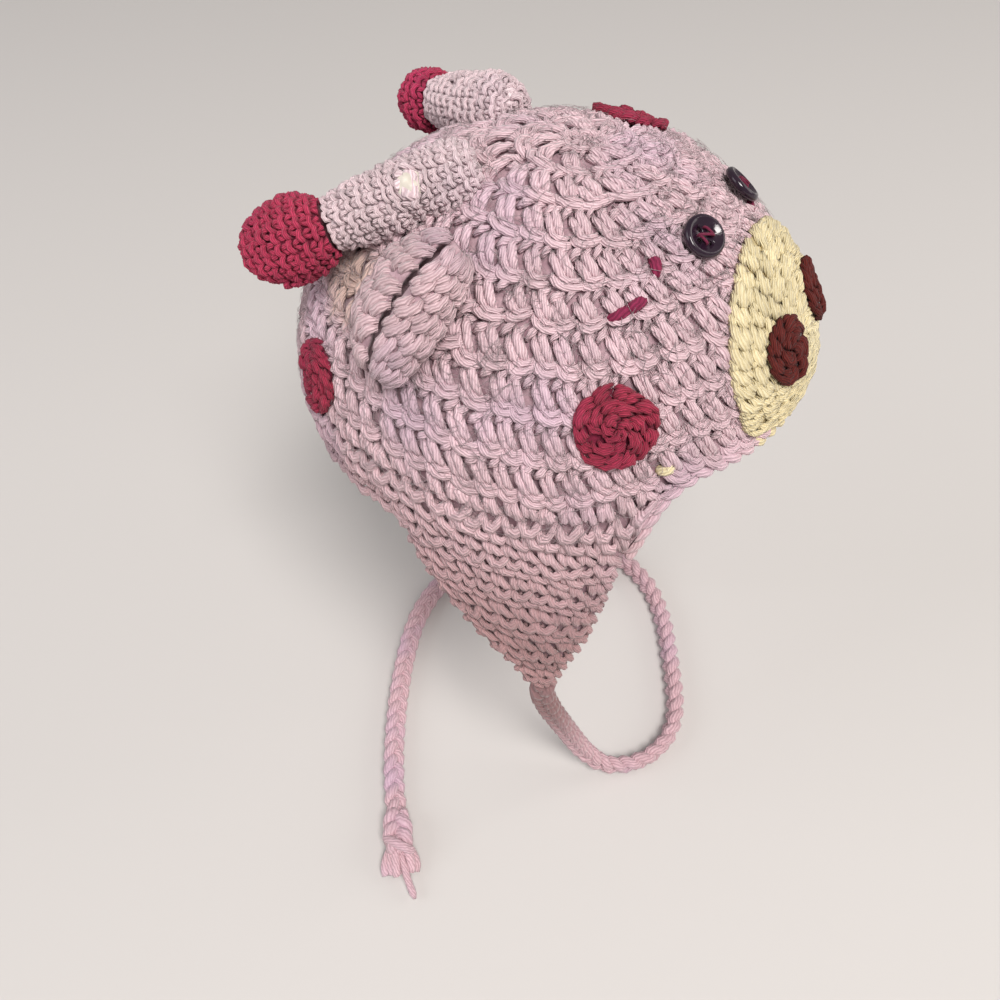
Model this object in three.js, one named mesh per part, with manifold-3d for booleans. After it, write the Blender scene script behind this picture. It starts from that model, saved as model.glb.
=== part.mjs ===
// Crocheted animal hat: a crown worked in rounds, two ear flaps with braided ties, a sewn-on muzzle
// with nostrils, button eyes, two stuffed horns, two folded ears and three round patches.
// Millimetres, +Z up. The hat faces -Y and the wearer's left side is +X.
// The origin is the inside top of the crown, where it rests on the wearer's head.

import * as THREE from 'three';
import { mergeVertices } from 'three/addons/utils/BufferGeometryUtils.js';
import Module from 'manifold-3d';

const wasm = await Module();
wasm.setup();

// ---------------------------------------------------------------- driving dimensions
const WALL = 5;
const GAP = 0.35;

const CROWN_HALF_WIDTH = 78;
const CROWN_HALF_FRONT = 79;
const CROWN_HALF_BACK = 97;
const CROWN_HEIGHT = 85.6;
const CROWN_CENTRE_Z = WALL - CROWN_HEIGHT;
const NAPE_RIM_Z = -97;

const MUZZLE_HALF_WIDTH = 35.8;
const MUZZLE_CENTRE_SLOPE = 64;
const MUZZLE_UP_SLOPE = 24.5;
const MUZZLE_DOWN_SLOPE = 10.5;
const MUZZLE_THICKNESS = 5;
const NOSTRIL_RADIUS = 8.9;
const NOSTRIL_SPREAD = 15.5;
const NOSTRIL_SLOPE = 60;
const NOSTRIL_THICKNESS = 2;

const BUTTON_RADIUS = 6.35;
const BUTTON_TILT = 8;
const BUTTON_HOLE_RADIUS = 0.85;
const BUTTON_HOLE_SPREAD = 1.7;

const SPOT_RADIUS = 11.7;
const SPOT_THICKNESS = 2.4;

const HORN_STEM_RADIUS = 10;

const EAR_HALF_WIDTH = 15.2;
const EAR_HALF_DEPTH = 6.6;
const EAR_WALL = 3.4;
const EAR_SLIT = 0.9;

const EDGING_RADIUS = 2.2;
const TIE_RADIUS = 5.2;
const TIE_SIDES = 8;
const KNOT_RADIUS = 7.5;
const KNOT_LENGTH = 13;
const TASSEL_LENGTH = 25;
const TASSEL_RADIUS = 7.5;

// Height of the crown's lower edge round the head; turn 0 is the forehead and 180 the nape.
const RIM_TABLE = [
  { turn: 0, level: -60 },
  { turn: 41, level: -60.5 },
  { turn: 48, level: -64.5 },
  { turn: 53.5, level: -74 },
  { turn: 58, level: NAPE_RIM_Z },
  { turn: 180, level: NAPE_RIM_Z },
];

// The ear flap, row by row: how far out it hangs, and where its front and rear edges are.
const FLAP_TABLE = [
  { level: NAPE_RIM_Z, halfWidth: 76.6, front: -41.5, rear: 31.5 },
  { level: -115, halfWidth: 76.4, front: -38.5, rear: 22.5 },
  { level: -135, halfWidth: 75.6, front: -34.5, rear: 7 },
  { level: -155, halfWidth: 74.2, front: -28, rear: -9.5 },
  { level: -169, halfWidth: 72.9, front: -24, rear: -16.6 },
];

// What differs between the hand-made left and right copies: the plan places of the buttons and ears,
// and each horn's own direction and sizes.
const SIDES = {
  left: {
    side: 1,
    button: { x: 16.8, y: -42 },
    earRoot: { x: 60, y: 21 },
    earTip: { x: 72, y: 31 },
    horn: { base: [22.5, 36, -2.5], direction: [26, 47, -17], stemLength: 35, tipLength: 19, tipRadius: 10.9 },
  },
  right: {
    side: -1,
    button: { x: 15.7, y: -40 },
    earRoot: { x: 43.5, y: 17 },
    earTip: { x: 64.5, y: 35.5 },
    horn: { base: [22.5, 30, -1], direction: [26.5, 47, -20], stemLength: 40, tipLength: 29, tipRadius: 13.2 },
  },
};

// Outline of a folded ear from its root to its tip, as shares of the full size.
const EAR_TABLE = [
  { along: 0, width: 0.42, depth: 0.8 },
  { along: 0.2, width: 0.78, depth: 0.95 },
  { along: 0.45, width: 1, depth: 1 },
  { along: 0.72, width: 0.97, depth: 0.95 },
  { along: 0.9, width: 0.78, depth: 0.8 },
  { along: 1, width: 0.45, depth: 0.5 },
];

// Centre lines of the two braided ties, from the flap's tip down to the surface below and along it.
const TIE_ROUTES = {
  right: [
    [-68.1, -20.3, -169.5],
    [-67.4, -20.2, -177.5],
    [-65, -20.5, -186],
    [-59.4, -22.4, -203],
    [-53.1, -25.3, -221],
    [-48, -28.9, -237.5],
    [-43.5, -34, -253],
    [-40.6, -42, -262.5],
    [-36.1, -49.8, -265.6],
    [-28.7, -58.2, -265.6],
    [-16, -63.9, -265.6],
    [-2.7, -64, -265.6],
    [11.2, -59.6, -265.6],
    [30.4, -51.2, -265.6],
    [45.7, -43.8, -265.6],
    [57, -36.5, -265.6],
    [67, -27.5, -265.6],
    [74.5, -16, -265.6],
    [78.5, -4, -265.6],
    [81, 8, -265.6],
    [81.5, 20, -265.6],
    [80, 32, -265.6],
    [77.5, 39.3, -265.6],
  ],
  left: [
    [68.1, -20.3, -169.5],
    [67.8, -20, -177.5],
    [66.4, -17, -192],
    [63.6, -10.5, -213],
    [60.2, -3, -236],
    [56.6, 7, -254],
    [52.8, 18, -263.8],
    [49, 32, -265.6],
    [42.5, 48, -265.6],
    [33.5, 62, -265.6],
    [21.5, 70, -265.6],
    [6, 71.5, -265.6],
    [-8, 70, -265.6],
    [-22, 66.6, -265.6],
    [-41.7, 60.2, -265.6],
    [-57.3, 54, -265.6],
    [-75.5, 45.6, -265.6],
    [-88.5, 38.4, -265.6],
    [-100, 31.2, -265.6],
  ],
};

const COLOURS = { lilac: 0xb9a0b4, plum: 0x8a2747, cream: 0xe3d9ab, maroon: 0x4a1c22, button: 0x24101f };

// ---------------------------------------------------------------- small helpers
const rad = THREE.MathUtils.degToRad;
const hat = new THREE.Group();

function readTable(table, key, at, column) {
  let low = table[0];
  let high = table[table.length - 1];
  for (let i = 0; i + 1 < table.length; i += 1) {
    const a = table[i];
    const b = table[i + 1];
    if ((at - a[key]) * (at - b[key]) <= 0) {
      low = a;
      high = b;
      break;
    }
  }
  const share = THREE.MathUtils.clamp((at - low[key]) / (high[key] - low[key]), 0, 1);
  return THREE.MathUtils.lerp(low[column], high[column], share);
}

function weld(geometry) {
  const bare = geometry.clone();
  bare.deleteAttribute('normal');
  bare.deleteAttribute('uv');
  const welded = mergeVertices(bare, 1e-4);
  const index = welded.getIndex().array;
  const kept = [];
  for (let i = 0; i < index.length; i += 3) {
    const [a, b, c] = [index[i], index[i + 1], index[i + 2]];
    if (a !== b && b !== c && c !== a) kept.push(a, b, c);
  }
  welded.setIndex(kept);
  return welded;
}

function volume(geometry) {
  const position = geometry.getAttribute('position');
  const index = geometry.getIndex().array;
  const [a, b, c] = [new THREE.Vector3(), new THREE.Vector3(), new THREE.Vector3()];
  let sum = 0;
  for (let i = 0; i < index.length; i += 3) {
    a.fromBufferAttribute(position, index[i]);
    b.fromBufferAttribute(position, index[i + 1]);
    c.fromBufferAttribute(position, index[i + 2]);
    sum += a.dot(b.cross(c)) / 6;
  }
  return sum;
}

// Moves every corner of a closed geometry, welds it and turns its faces outwards.
function warp(geometry, move) {
  const bent = weld(geometry);
  const position = bent.getAttribute('position');
  const corner = new THREE.Vector3();
  for (let i = 0; i < position.count; i += 1) {
    corner.fromBufferAttribute(position, i);
    const placed = move(corner);
    position.setXYZ(i, placed.x, placed.y, placed.z);
  }
  if (volume(bent) < 0) {
    const index = bent.getIndex().array;
    for (let i = 0; i < index.length; i += 3) {
      const kept = index[i + 1];
      index[i + 1] = index[i + 2];
      index[i + 2] = kept;
    }
  }
  return bent;
}

function solidOf(geometry) {
  const welded = weld(geometry);
  const vertProperties = new Float32Array(welded.getAttribute('position').array);
  const triVerts = new Uint32Array(welded.getIndex().array);
  return new wasm.Manifold(new wasm.Mesh({ numProp: 3, vertProperties, triVerts }));
}

function geometryOf(solid) {
  const mesh = solid.getMesh();
  const geometry = new THREE.BufferGeometry();
  geometry.setAttribute('position', new THREE.BufferAttribute(new Float32Array(mesh.vertProperties), 3));
  geometry.setIndex(new THREE.BufferAttribute(new Uint32Array(mesh.triVerts), 1));
  return geometry;
}

function add(name, geometry, colour, roughness = 0.9) {
  const material = new THREE.MeshStandardMaterial({ color: colour, roughness, metalness: 0 });
  const mesh = new THREE.Mesh(geometry, material);
  mesh.name = name;
  hat.add(mesh);
  return mesh;
}

// A flat round disc of radius 1 and thickness 1 whose corners a warp places; y is 0 below and 1 above.
function unitDisc(rings, sectors) {
  const profile = [];
  for (let i = 0; i <= rings; i += 1) profile.push(new THREE.Vector2(i / rings, 0));
  for (let i = rings; i >= 0; i -= 1) profile.push(new THREE.Vector2(i / rings, 1));
  return new THREE.LatheGeometry(profile, sectors);
}

// ---------------------------------------------------------------- the head's form
function halfLength(forward) {
  return forward ? CROWN_HALF_FRONT : CROWN_HALF_BACK;
}

// Point of the crown: turn from the forehead towards the wearer's left, slope down from the top.
function crownPoint(turn, slope, depth) {
  const length = halfLength(Math.cos(turn) > 0) - depth;
  return new THREE.Vector3(
    (CROWN_HALF_WIDTH - depth) * Math.sin(slope) * Math.sin(turn),
    -length * Math.sin(slope) * Math.cos(turn),
    CROWN_CENTRE_Z + (CROWN_HEIGHT - depth) * Math.cos(slope),
  );
}

function crownNormal(point) {
  const length = halfLength(point.y < 0);
  const normal = new THREE.Vector3(
    point.x / CROWN_HALF_WIDTH ** 2,
    point.y / length ** 2,
    (point.z - CROWN_CENTRE_Z) / CROWN_HEIGHT ** 2,
  );
  return normal.normalize();
}

// The crown's outer surface above or below a plan position near the given point.
function ontoCrown(point, lift) {
  const length = halfLength(point.y < 0);
  const share = Math.hypot(
    point.x / CROWN_HALF_WIDTH,
    point.y / length,
    (point.z - CROWN_CENTRE_Z) / CROWN_HEIGHT,
  );
  const centre = new THREE.Vector3(0, 0, CROWN_CENTRE_Z);
  const onSurface = point.clone().sub(centre).divideScalar(share).add(centre);
  return onSurface.clone().addScaledVector(crownNormal(onSurface), lift);
}

function crownHeightAt(x, y) {
  const spread = (x / CROWN_HALF_WIDTH) ** 2 + (y / halfLength(y < 0)) ** 2;
  return CROWN_CENTRE_Z + CROWN_HEIGHT * Math.sqrt(1 - spread);
}

// ---------------------------------------------------------------- crown and flaps
function makeCrown() {
  const rings = 12;
  const sectors = 60;
  const corner = RIM_TABLE[4].turn;
  return warp(unitDisc(rings, sectors), (unit) => {
    const share = Math.min(Math.hypot(unit.x, unit.z), 1);
    const evenTurn = THREE.MathUtils.radToDeg(Math.atan2(unit.x, unit.z));
    const size = Math.abs(evenTurn);
    const shift = Math.max(0, 1 - Math.abs(size - 60) / 12) * (60 - corner);
    const turn = size - shift;
    const depth = unit.y > 0.5 ? 0 : WALL;
    const level = readTable(RIM_TABLE, 'turn', turn, 'level');
    const rimSlope = Math.acos((level - CROWN_CENTRE_Z) / (CROWN_HEIGHT - depth));
    return crownPoint(rad(turn) * Math.sign(evenTurn), share * rimSlope, depth);
  });
}

function makeFlap(side) {
  const across = 10;
  const down = 10;
  const top = NAPE_RIM_Z - GAP;
  const bottom = FLAP_TABLE[FLAP_TABLE.length - 1].level;
  return warp(new THREE.BoxGeometry(1, 1, 1, across, down, 1), (unit) => {
    const level = THREE.MathUtils.lerp(top, bottom, 0.5 - unit.y);
    const front = readTable(FLAP_TABLE, 'level', level, 'front');
    const rear = readTable(FLAP_TABLE, 'level', level, 'rear');
    const y = THREE.MathUtils.lerp(front, rear, unit.x + 0.5);
    const out = readTable(FLAP_TABLE, 'level', level, 'halfWidth') - (unit.z > 0 ? 0 : WALL);
    const x = out * Math.sqrt(1 - (y / halfLength(y < 0)) ** 2);
    return new THREE.Vector3(side * x, y, level);
  });
}

function makeEdging() {
  const points = [];
  const steps = 36;
  const end = RIM_TABLE[3].turn - 1.5;
  for (let i = 0; i <= steps; i += 1) {
    const turn = THREE.MathUtils.lerp(-end, end, i / steps);
    const level = readTable(RIM_TABLE, 'turn', Math.abs(turn), 'level');
    const slope = Math.acos((level - CROWN_CENTRE_Z) / CROWN_HEIGHT);
    const point = crownPoint(rad(turn), slope, WALL / 2);
    const steep = THREE.MathUtils.smoothstep(Math.abs(turn), 38, end);
    point.z = level - EDGING_RADIUS - GAP - 1.6 * steep;
    point.y -= 1.6 * steep;
    points.push(point);
  }
  return tube(points, EDGING_RADIUS, 8, steps);
}

// ---------------------------------------------------------------- tubes and turned pieces
function tube(points, radius, sides, steps) {
  const section = new THREE.Shape();
  for (let i = 0; i < sides; i += 1) {
    const angle = (2 * Math.PI * i) / sides;
    const [x, y] = [radius * Math.cos(angle), radius * Math.sin(angle)];
    if (i === 0) section.moveTo(x, y);
    else section.lineTo(x, y);
  }
  section.closePath();
  const path = new THREE.CatmullRomCurve3(points, false, 'centripetal');
  const geometry = new THREE.ExtrudeGeometry(section, { steps, bevelEnabled: false, extrudePath: path });
  return warp(geometry, (corner) => corner.clone());
}

function turned(rows, sectors) {
  const profile = rows.map(([radius, along]) => new THREE.Vector2(radius, along));
  return new THREE.LatheGeometry(profile, sectors);
}

// Stands a turned piece's own +Y along a direction at a place.
function stand(geometry, place, direction) {
  const turn = new THREE.Quaternion().setFromUnitVectors(new THREE.Vector3(0, 1, 0), direction);
  return warp(geometry, (corner) => corner.clone().applyQuaternion(turn).add(place));
}

function mirrored(vector, side) {
  return new THREE.Vector3(side * vector.x, vector.y, vector.z);
}

// ---------------------------------------------------------------- face
function muzzleReach(angle) {
  const down = Math.sin(angle) < 0;
  const power = down ? 4 : 2.15;
  const total = Math.abs(Math.cos(angle)) ** power + Math.abs(Math.sin(angle)) ** power;
  return total ** (-1 / power);
}

function muzzlePoint(x, slope, lift) {
  const narrow = Math.sqrt(1 - (x / CROWN_HALF_WIDTH) ** 2);
  const point = new THREE.Vector3(
    x,
    -CROWN_HALF_FRONT * Math.sin(slope) * narrow,
    CROWN_CENTRE_Z + CROWN_HEIGHT * Math.cos(slope) * narrow,
  );
  return point.addScaledVector(crownNormal(point), lift);
}

function muzzleThickness(share) {
  return MUZZLE_THICKNESS * (0.62 + 0.38 * Math.sqrt(Math.max(0, 1 - share ** 3)));
}

function makeMuzzle() {
  return warp(unitDisc(6, 32), (unit) => {
    const share = Math.min(Math.hypot(unit.x, unit.z), 1);
    const angle = Math.atan2(unit.z, unit.x);
    const reach = share * muzzleReach(angle);
    const span = unit.z < 0 ? MUZZLE_DOWN_SLOPE : MUZZLE_UP_SLOPE;
    const slope = rad(MUZZLE_CENTRE_SLOPE - span * reach * Math.sin(angle));
    const lift = GAP + (unit.y > 0.5 ? muzzleThickness(share) : 0);
    return muzzlePoint(MUZZLE_HALF_WIDTH * reach * Math.cos(angle), slope, lift);
  });
}

function makeNostril(side) {
  const perMillimetre = THREE.MathUtils.radToDeg(1 / CROWN_HALF_FRONT);
  return warp(unitDisc(2, 16), (unit) => {
    const x = side * NOSTRIL_SPREAD + NOSTRIL_RADIUS * unit.x;
    const slope = rad(NOSTRIL_SLOPE - NOSTRIL_RADIUS * unit.z * perMillimetre);
    const lift = MUZZLE_THICKNESS + 2 * GAP + (unit.y > 0.5 ? NOSTRIL_THICKNESS : 0);
    return muzzlePoint(x, slope, lift);
  });
}

function makeButton({ side, button }) {
  const blank = solidOf(turned([
    [0, 0],
    [5.1, 0],
    [BUTTON_RADIUS, 0.9],
    [BUTTON_RADIUS, 1.9],
    [5.8, 2.7],
    [5.0, 2.8],
    [4.2, 1.8],
    [0, 1.5],
  ], 32));
  let drilled = blank;
  for (const [x, z] of [[-1, -1], [-1, 1], [1, -1], [1, 1]]) {
    const drill = new THREE.CylinderGeometry(BUTTON_HOLE_RADIUS, BUTTON_HOLE_RADIUS, 6, 10);
    drill.translate(x * BUTTON_HOLE_SPREAD, 1.4, z * BUTTON_HOLE_SPREAD);
    drilled = drilled.subtract(solidOf(drill));
  }
  const x = side * button.x;
  const seat = new THREE.Vector3(x, button.y, crownHeightAt(x, button.y));
  const facing = crownNormal(seat);
  const tilted = facing.clone().applyAxisAngle(new THREE.Vector3(0, 1, 0), side * rad(BUTTON_TILT));
  const lift = GAP + 0.4 + BUTTON_RADIUS * Math.sin(rad(BUTTON_TILT));
  return stand(geometryOf(drilled), seat.addScaledVector(facing, lift), tilted);
}

// ---------------------------------------------------------------- round patches
function makeSpot(x, y) {
  const centre = new THREE.Vector3(x, y, crownHeightAt(x, y));
  const facing = crownNormal(centre);
  const across = new THREE.Vector3(-facing.y, facing.x, 0).normalize();
  const up = new THREE.Vector3().crossVectors(facing, across);
  return warp(unitDisc(3, 20), (unit) => {
    const flat = centre.clone();
    flat.addScaledVector(across, SPOT_RADIUS * unit.x);
    flat.addScaledVector(up, SPOT_RADIUS * unit.z);
    return ontoCrown(flat, GAP + (unit.y > 0.5 ? SPOT_THICKNESS : 0));
  });
}

// ---------------------------------------------------------------- horns
function crownClearance() {
  const geometry = new THREE.SphereGeometry(1, 48, 32);
  return solidOf(warp(geometry, (unit) => new THREE.Vector3(
    unit.x * (CROWN_HALF_WIDTH + GAP),
    unit.y * (halfLength(unit.y < 0) + GAP),
    CROWN_CENTRE_Z + unit.z * (CROWN_HEIGHT + GAP),
  )));
}

function hornDirection({ side, horn }) {
  return mirrored(new THREE.Vector3(...horn.direction), side).normalize();
}

function hornBase({ side, horn }) {
  return mirrored(new THREE.Vector3(...horn.base), side);
}

function makeHornStem(hand) {
  const end = hand.horn.stemLength;
  const stem = stand(turned([
    [0, -7],
    [HORN_STEM_RADIUS - 4, -6.4],
    [HORN_STEM_RADIUS - 0.5, -3.5],
    [HORN_STEM_RADIUS + 0.8, 2],
    [HORN_STEM_RADIUS + 0.5, 16],
    [HORN_STEM_RADIUS, end - 12],
    [HORN_STEM_RADIUS - 1.2, end - 3],
    [HORN_STEM_RADIUS - 1.9, end],
    [0, end],
  ], 24), hornBase(hand), hornDirection(hand));
  return geometryOf(solidOf(stem).subtract(crownClearance()));
}

function makeHornTip(hand) {
  const { stemLength, tipLength, tipRadius } = hand.horn;
  const neck = HORN_STEM_RADIUS - 1.9;
  const rows = [[0, 0], [neck, 0]];
  const rings = 9;
  const waist = 0.36;
  for (let i = 1; i < rings; i += 1) {
    const share = i / rings;
    const before = Math.sin(Math.min(share / waist, 1) * (Math.PI / 2));
    const after = Math.sqrt(1 - Math.max(0, (share - waist) / (1 - waist)) ** 2);
    const radius = share < waist ? THREE.MathUtils.lerp(neck, tipRadius, before) : tipRadius * after;
    rows.push([radius, tipLength * share]);
  }
  rows.push([0, tipLength]);
  const direction = hornDirection(hand);
  const place = hornBase(hand).addScaledVector(direction, stemLength + GAP);
  return stand(turned(rows, 24), place, direction);
}

// ---------------------------------------------------------------- ears
function earFoot(root, tip, share) {
  const x = THREE.MathUtils.lerp(root.x, tip.x, share);
  const y = THREE.MathUtils.lerp(root.y, tip.y, share);
  return new THREE.Vector3(x, y, crownHeightAt(x, y));
}

// A leaf folded along its length: the section is a flattened C whose two lips nearly meet outside.
function makeEar({ side, earRoot, earTip }) {
  const across = 20;
  const along = 10;
  return warp(new THREE.BoxGeometry(1, 1, 1, across, along, 1), (unit) => {
    const share = unit.y + 0.5;
    const width = EAR_HALF_WIDTH * readTable(EAR_TABLE, 'along', share, 'width');
    const depth = EAR_HALF_DEPTH * readTable(EAR_TABLE, 'along', share, 'depth');
    const wall = unit.z > 0 ? 0 : EAR_WALL;
    const opening = EAR_SLIT / width;
    const round = Math.PI / 2 + opening + (2 * Math.PI - 2 * opening) * (unit.x + 0.5);
    const sideways = (width - Math.min(wall, width * 0.62)) * Math.cos(round);
    const outwards = (depth - Math.min(wall, depth * 0.62)) * Math.sin(round);
    const foot = earFoot(earRoot, earTip, share);
    const facing = crownNormal(foot);
    const ahead = earFoot(earRoot, earTip, share + 0.02).sub(foot);
    const cross = new THREE.Vector3().crossVectors(facing, ahead).normalize();
    const point = foot.addScaledVector(facing, GAP + 0.5 + depth + outwards);
    point.addScaledVector(cross, sideways);
    return mirrored(point, side);
  });
}

// ---------------------------------------------------------------- ties
function tieEnd(side) {
  const route = TIE_ROUTES[side].map(([x, y, z]) => new THREE.Vector3(x, y, z));
  const last = route[route.length - 1];
  const direction = last.clone().sub(route[route.length - 2]).normalize();
  return { route, last, direction };
}

function makeTie(side) {
  const { route } = tieEnd(side);
  return tube(route, TIE_RADIUS, TIE_SIDES, 26);
}

function makeKnot(side) {
  const { last, direction } = tieEnd(side);
  const place = last.clone().addScaledVector(direction, GAP);
  const rows = [[0, 0]];
  const rings = 6;
  for (let i = 0; i <= rings; i += 1) {
    const share = i / rings;
    const bulge = 0.6 + 0.4 * Math.sin(Math.PI * share);
    rows.push([KNOT_RADIUS * bulge, KNOT_LENGTH * share]);
  }
  rows.push([0, KNOT_LENGTH]);
  place.z = last.z + KNOT_RADIUS - TIE_RADIUS;
  return stand(turned(rows, 12), place, direction);
}

function makeTassel(side) {
  const { last, direction } = tieEnd(side);
  const place = last.clone().addScaledVector(direction, KNOT_LENGTH + 2 * GAP);
  place.z = last.z + TASSEL_RADIUS - TIE_RADIUS - 2.2;
  const flat = stand(turned([
    [0, 0],
    [TASSEL_RADIUS * 0.6, 0],
    [TASSEL_RADIUS, TASSEL_LENGTH * 0.3],
    [TASSEL_RADIUS * 0.95, TASSEL_LENGTH * 0.7],
    [TASSEL_RADIUS * 0.5, TASSEL_LENGTH],
    [0, TASSEL_LENGTH],
  ], 12), place, direction);
  return warp(flat, (corner) => {
    const settled = corner.clone();
    settled.z = place.z + (corner.z - place.z) * 0.7;
    return settled;
  });
}

// ---------------------------------------------------------------- assembly
add('crown', makeCrown(), COLOURS.lilac);
add('rim_edging', makeEdging(), COLOURS.lilac);
add('muzzle', makeMuzzle(), COLOURS.cream);
add('spot_right_side', makeSpot(-61, -34.3), COLOURS.plum);
add('spot_back', makeSpot(-54.5, 66.5), COLOURS.plum);
add('spot_left_top', makeSpot(32, -4), COLOURS.plum);

for (const [name, hand] of Object.entries(SIDES)) {
  add(`ear_flap_${name}`, makeFlap(hand.side), COLOURS.lilac);
  add(`nostril_${name}`, makeNostril(hand.side), COLOURS.maroon);
  add(`button_eye_${name}`, makeButton(hand), COLOURS.button, 0.2);
  add(`horn_stem_${name}`, makeHornStem(hand), COLOURS.lilac);
  add(`horn_tip_${name}`, makeHornTip(hand), COLOURS.plum);
  add(`ear_${name}`, makeEar(hand), COLOURS.lilac);
  add(`tie_${name}`, makeTie(name), COLOURS.lilac);
  add(`tie_knot_${name}`, makeKnot(name), COLOURS.lilac);
  add(`tie_tassel_${name}`, makeTassel(name), COLOURS.lilac);
}

export default hat;
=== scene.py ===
"""Looks of a crocheted animal hat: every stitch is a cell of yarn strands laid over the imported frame.

The hat is worked in rounds of tall stitches from the top down, with two flaps in rows below it,
braided ties, and a muzzle, nostrils, patches, ears and stuffed horns in short stitches.
"""

from __future__ import annotations

import logging
import math
from dataclasses import dataclass
from enum import Enum
from functools import cache
from typing import Callable, Sequence

import bmesh
import bpy
import numpy as np
from mathutils import Matrix, Vector


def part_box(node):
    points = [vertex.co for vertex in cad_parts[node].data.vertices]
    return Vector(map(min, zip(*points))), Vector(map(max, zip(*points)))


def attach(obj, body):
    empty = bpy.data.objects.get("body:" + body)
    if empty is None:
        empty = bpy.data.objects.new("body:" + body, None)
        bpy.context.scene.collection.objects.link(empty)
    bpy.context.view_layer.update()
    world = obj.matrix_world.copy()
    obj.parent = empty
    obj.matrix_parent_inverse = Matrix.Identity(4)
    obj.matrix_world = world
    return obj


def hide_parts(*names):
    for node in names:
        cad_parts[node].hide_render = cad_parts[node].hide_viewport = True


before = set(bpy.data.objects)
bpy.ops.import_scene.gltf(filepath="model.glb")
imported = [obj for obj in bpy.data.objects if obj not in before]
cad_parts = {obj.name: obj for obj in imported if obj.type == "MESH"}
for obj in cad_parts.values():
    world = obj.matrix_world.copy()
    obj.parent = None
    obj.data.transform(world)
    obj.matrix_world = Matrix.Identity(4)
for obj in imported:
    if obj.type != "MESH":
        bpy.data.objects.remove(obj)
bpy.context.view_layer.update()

LOG = logging.getLogger("hat")
MM = 0.001
BODY = "root"
Colour = tuple[float, float, float]
Point = tuple[float, float, float]
Placer = Callable[[np.ndarray, np.ndarray, np.ndarray], np.ndarray]
SocketValue = bpy.types.NodeSocket | float
ColourValue = bpy.types.NodeSocket | Colour


# ---------------------------------------------------------------- studio
@dataclass(frozen=True)
class Studio:
    """The camera, the pale floor and the soft lights.

    Attributes:
        camera_at: Place of the camera, in millimetres.
        looks_along: Direction the camera looks in.
        roll_degrees: Turn of the camera about its own line of sight.
        floor_level: Height of the floor that the ties lie on, in millimetres.
    """

    camera_at: Point = (-258.45, -85.40, 145.92)
    looks_along: Point = (0.62275, 0.26940, -0.73458)
    roll_degrees: float = 0.18
    floor_level: float = -271.2

    def add_camera(self) -> None:
        """Makes the scene's camera, with a 36 mm lens on a 36 mm sensor."""
        data = bpy.data.cameras.new("view")
        data.sensor_width = 36.0
        data.lens = 36.0
        camera = bpy.data.objects.new("view", data)
        bpy.context.scene.collection.objects.link(camera)
        facing = Vector(self.looks_along).to_track_quat("-Z", "Y")
        roll = Matrix.Rotation(math.radians(self.roll_degrees), 4, "Z")
        camera.matrix_world = Matrix.Translation(Vector(self.camera_at) * MM) @ facing.to_matrix().to_4x4() @ roll
        bpy.context.scene.camera = camera

    def add_floor(self) -> None:
        """Makes the floor, which is not part of the hat."""
        bm = bmesh.new()
        bmesh.ops.create_grid(bm, x_segments=1, y_segments=1, size=3.0)
        bmesh.ops.translate(bm, verts=bm.verts, vec=(0, 0, self.floor_level * MM))
        floor = object_from(bm, "floor", smooth=False)
        material = bpy.data.materials.new("pale_floor")
        material.use_nodes = True
        shader = material.node_tree.nodes["Principled BSDF"]
        shader.inputs["Base Color"].default_value = (0.60, 0.585, 0.57, 1)
        shader.inputs["Roughness"].default_value = 0.8
        floor.data.materials.append(material)

    def add_light(self, name: str, at: Point, aim: Point, size: float, power: float, colour: Colour) -> None:
        """Makes one soft square light.

        Args:
            name: Name of the light.
            at: Its place in metres.
            aim: The point in metres that it faces.
            size: Its side in metres.
            power: Its power in watts.
            colour: Its colour.
        """
        data = bpy.data.lights.new(name, "AREA")
        data.size = size
        data.energy = power
        data.color = colour
        light = bpy.data.objects.new(name, data)
        bpy.context.scene.collection.objects.link(light)
        light.location = at
        light.rotation_euler = (Vector(aim) - Vector(at)).to_track_quat("-Z", "Y").to_euler()

    def build(self) -> None:
        """Makes everything in the studio."""
        self.add_camera()
        self.add_floor()
        self.add_light("key", (-1.1, -0.9, 1.9), (0, 0, -0.08), 0.85, 60.0, (1.0, 0.955, 0.92))
        self.add_light("fill", (-1.3, 1.6, 1.2), (0, 0, -0.1), 1.4, 14.0, (0.96, 0.95, 1.0))
        self.add_light("front", (1.1, -1.7, 0.9), (0, 0, -0.1), 1.4, 12.0, (1.0, 0.95, 0.91))
        world = bpy.data.worlds.new("room")
        world.use_nodes = True
        background = world.node_tree.nodes["Background"]
        background.inputs["Color"].default_value = (0.97, 0.93, 0.91, 1)
        background.inputs["Strength"].default_value = 0.36
        bpy.context.scene.world = world
        bpy.context.scene.view_settings.view_transform = "Standard"


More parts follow.
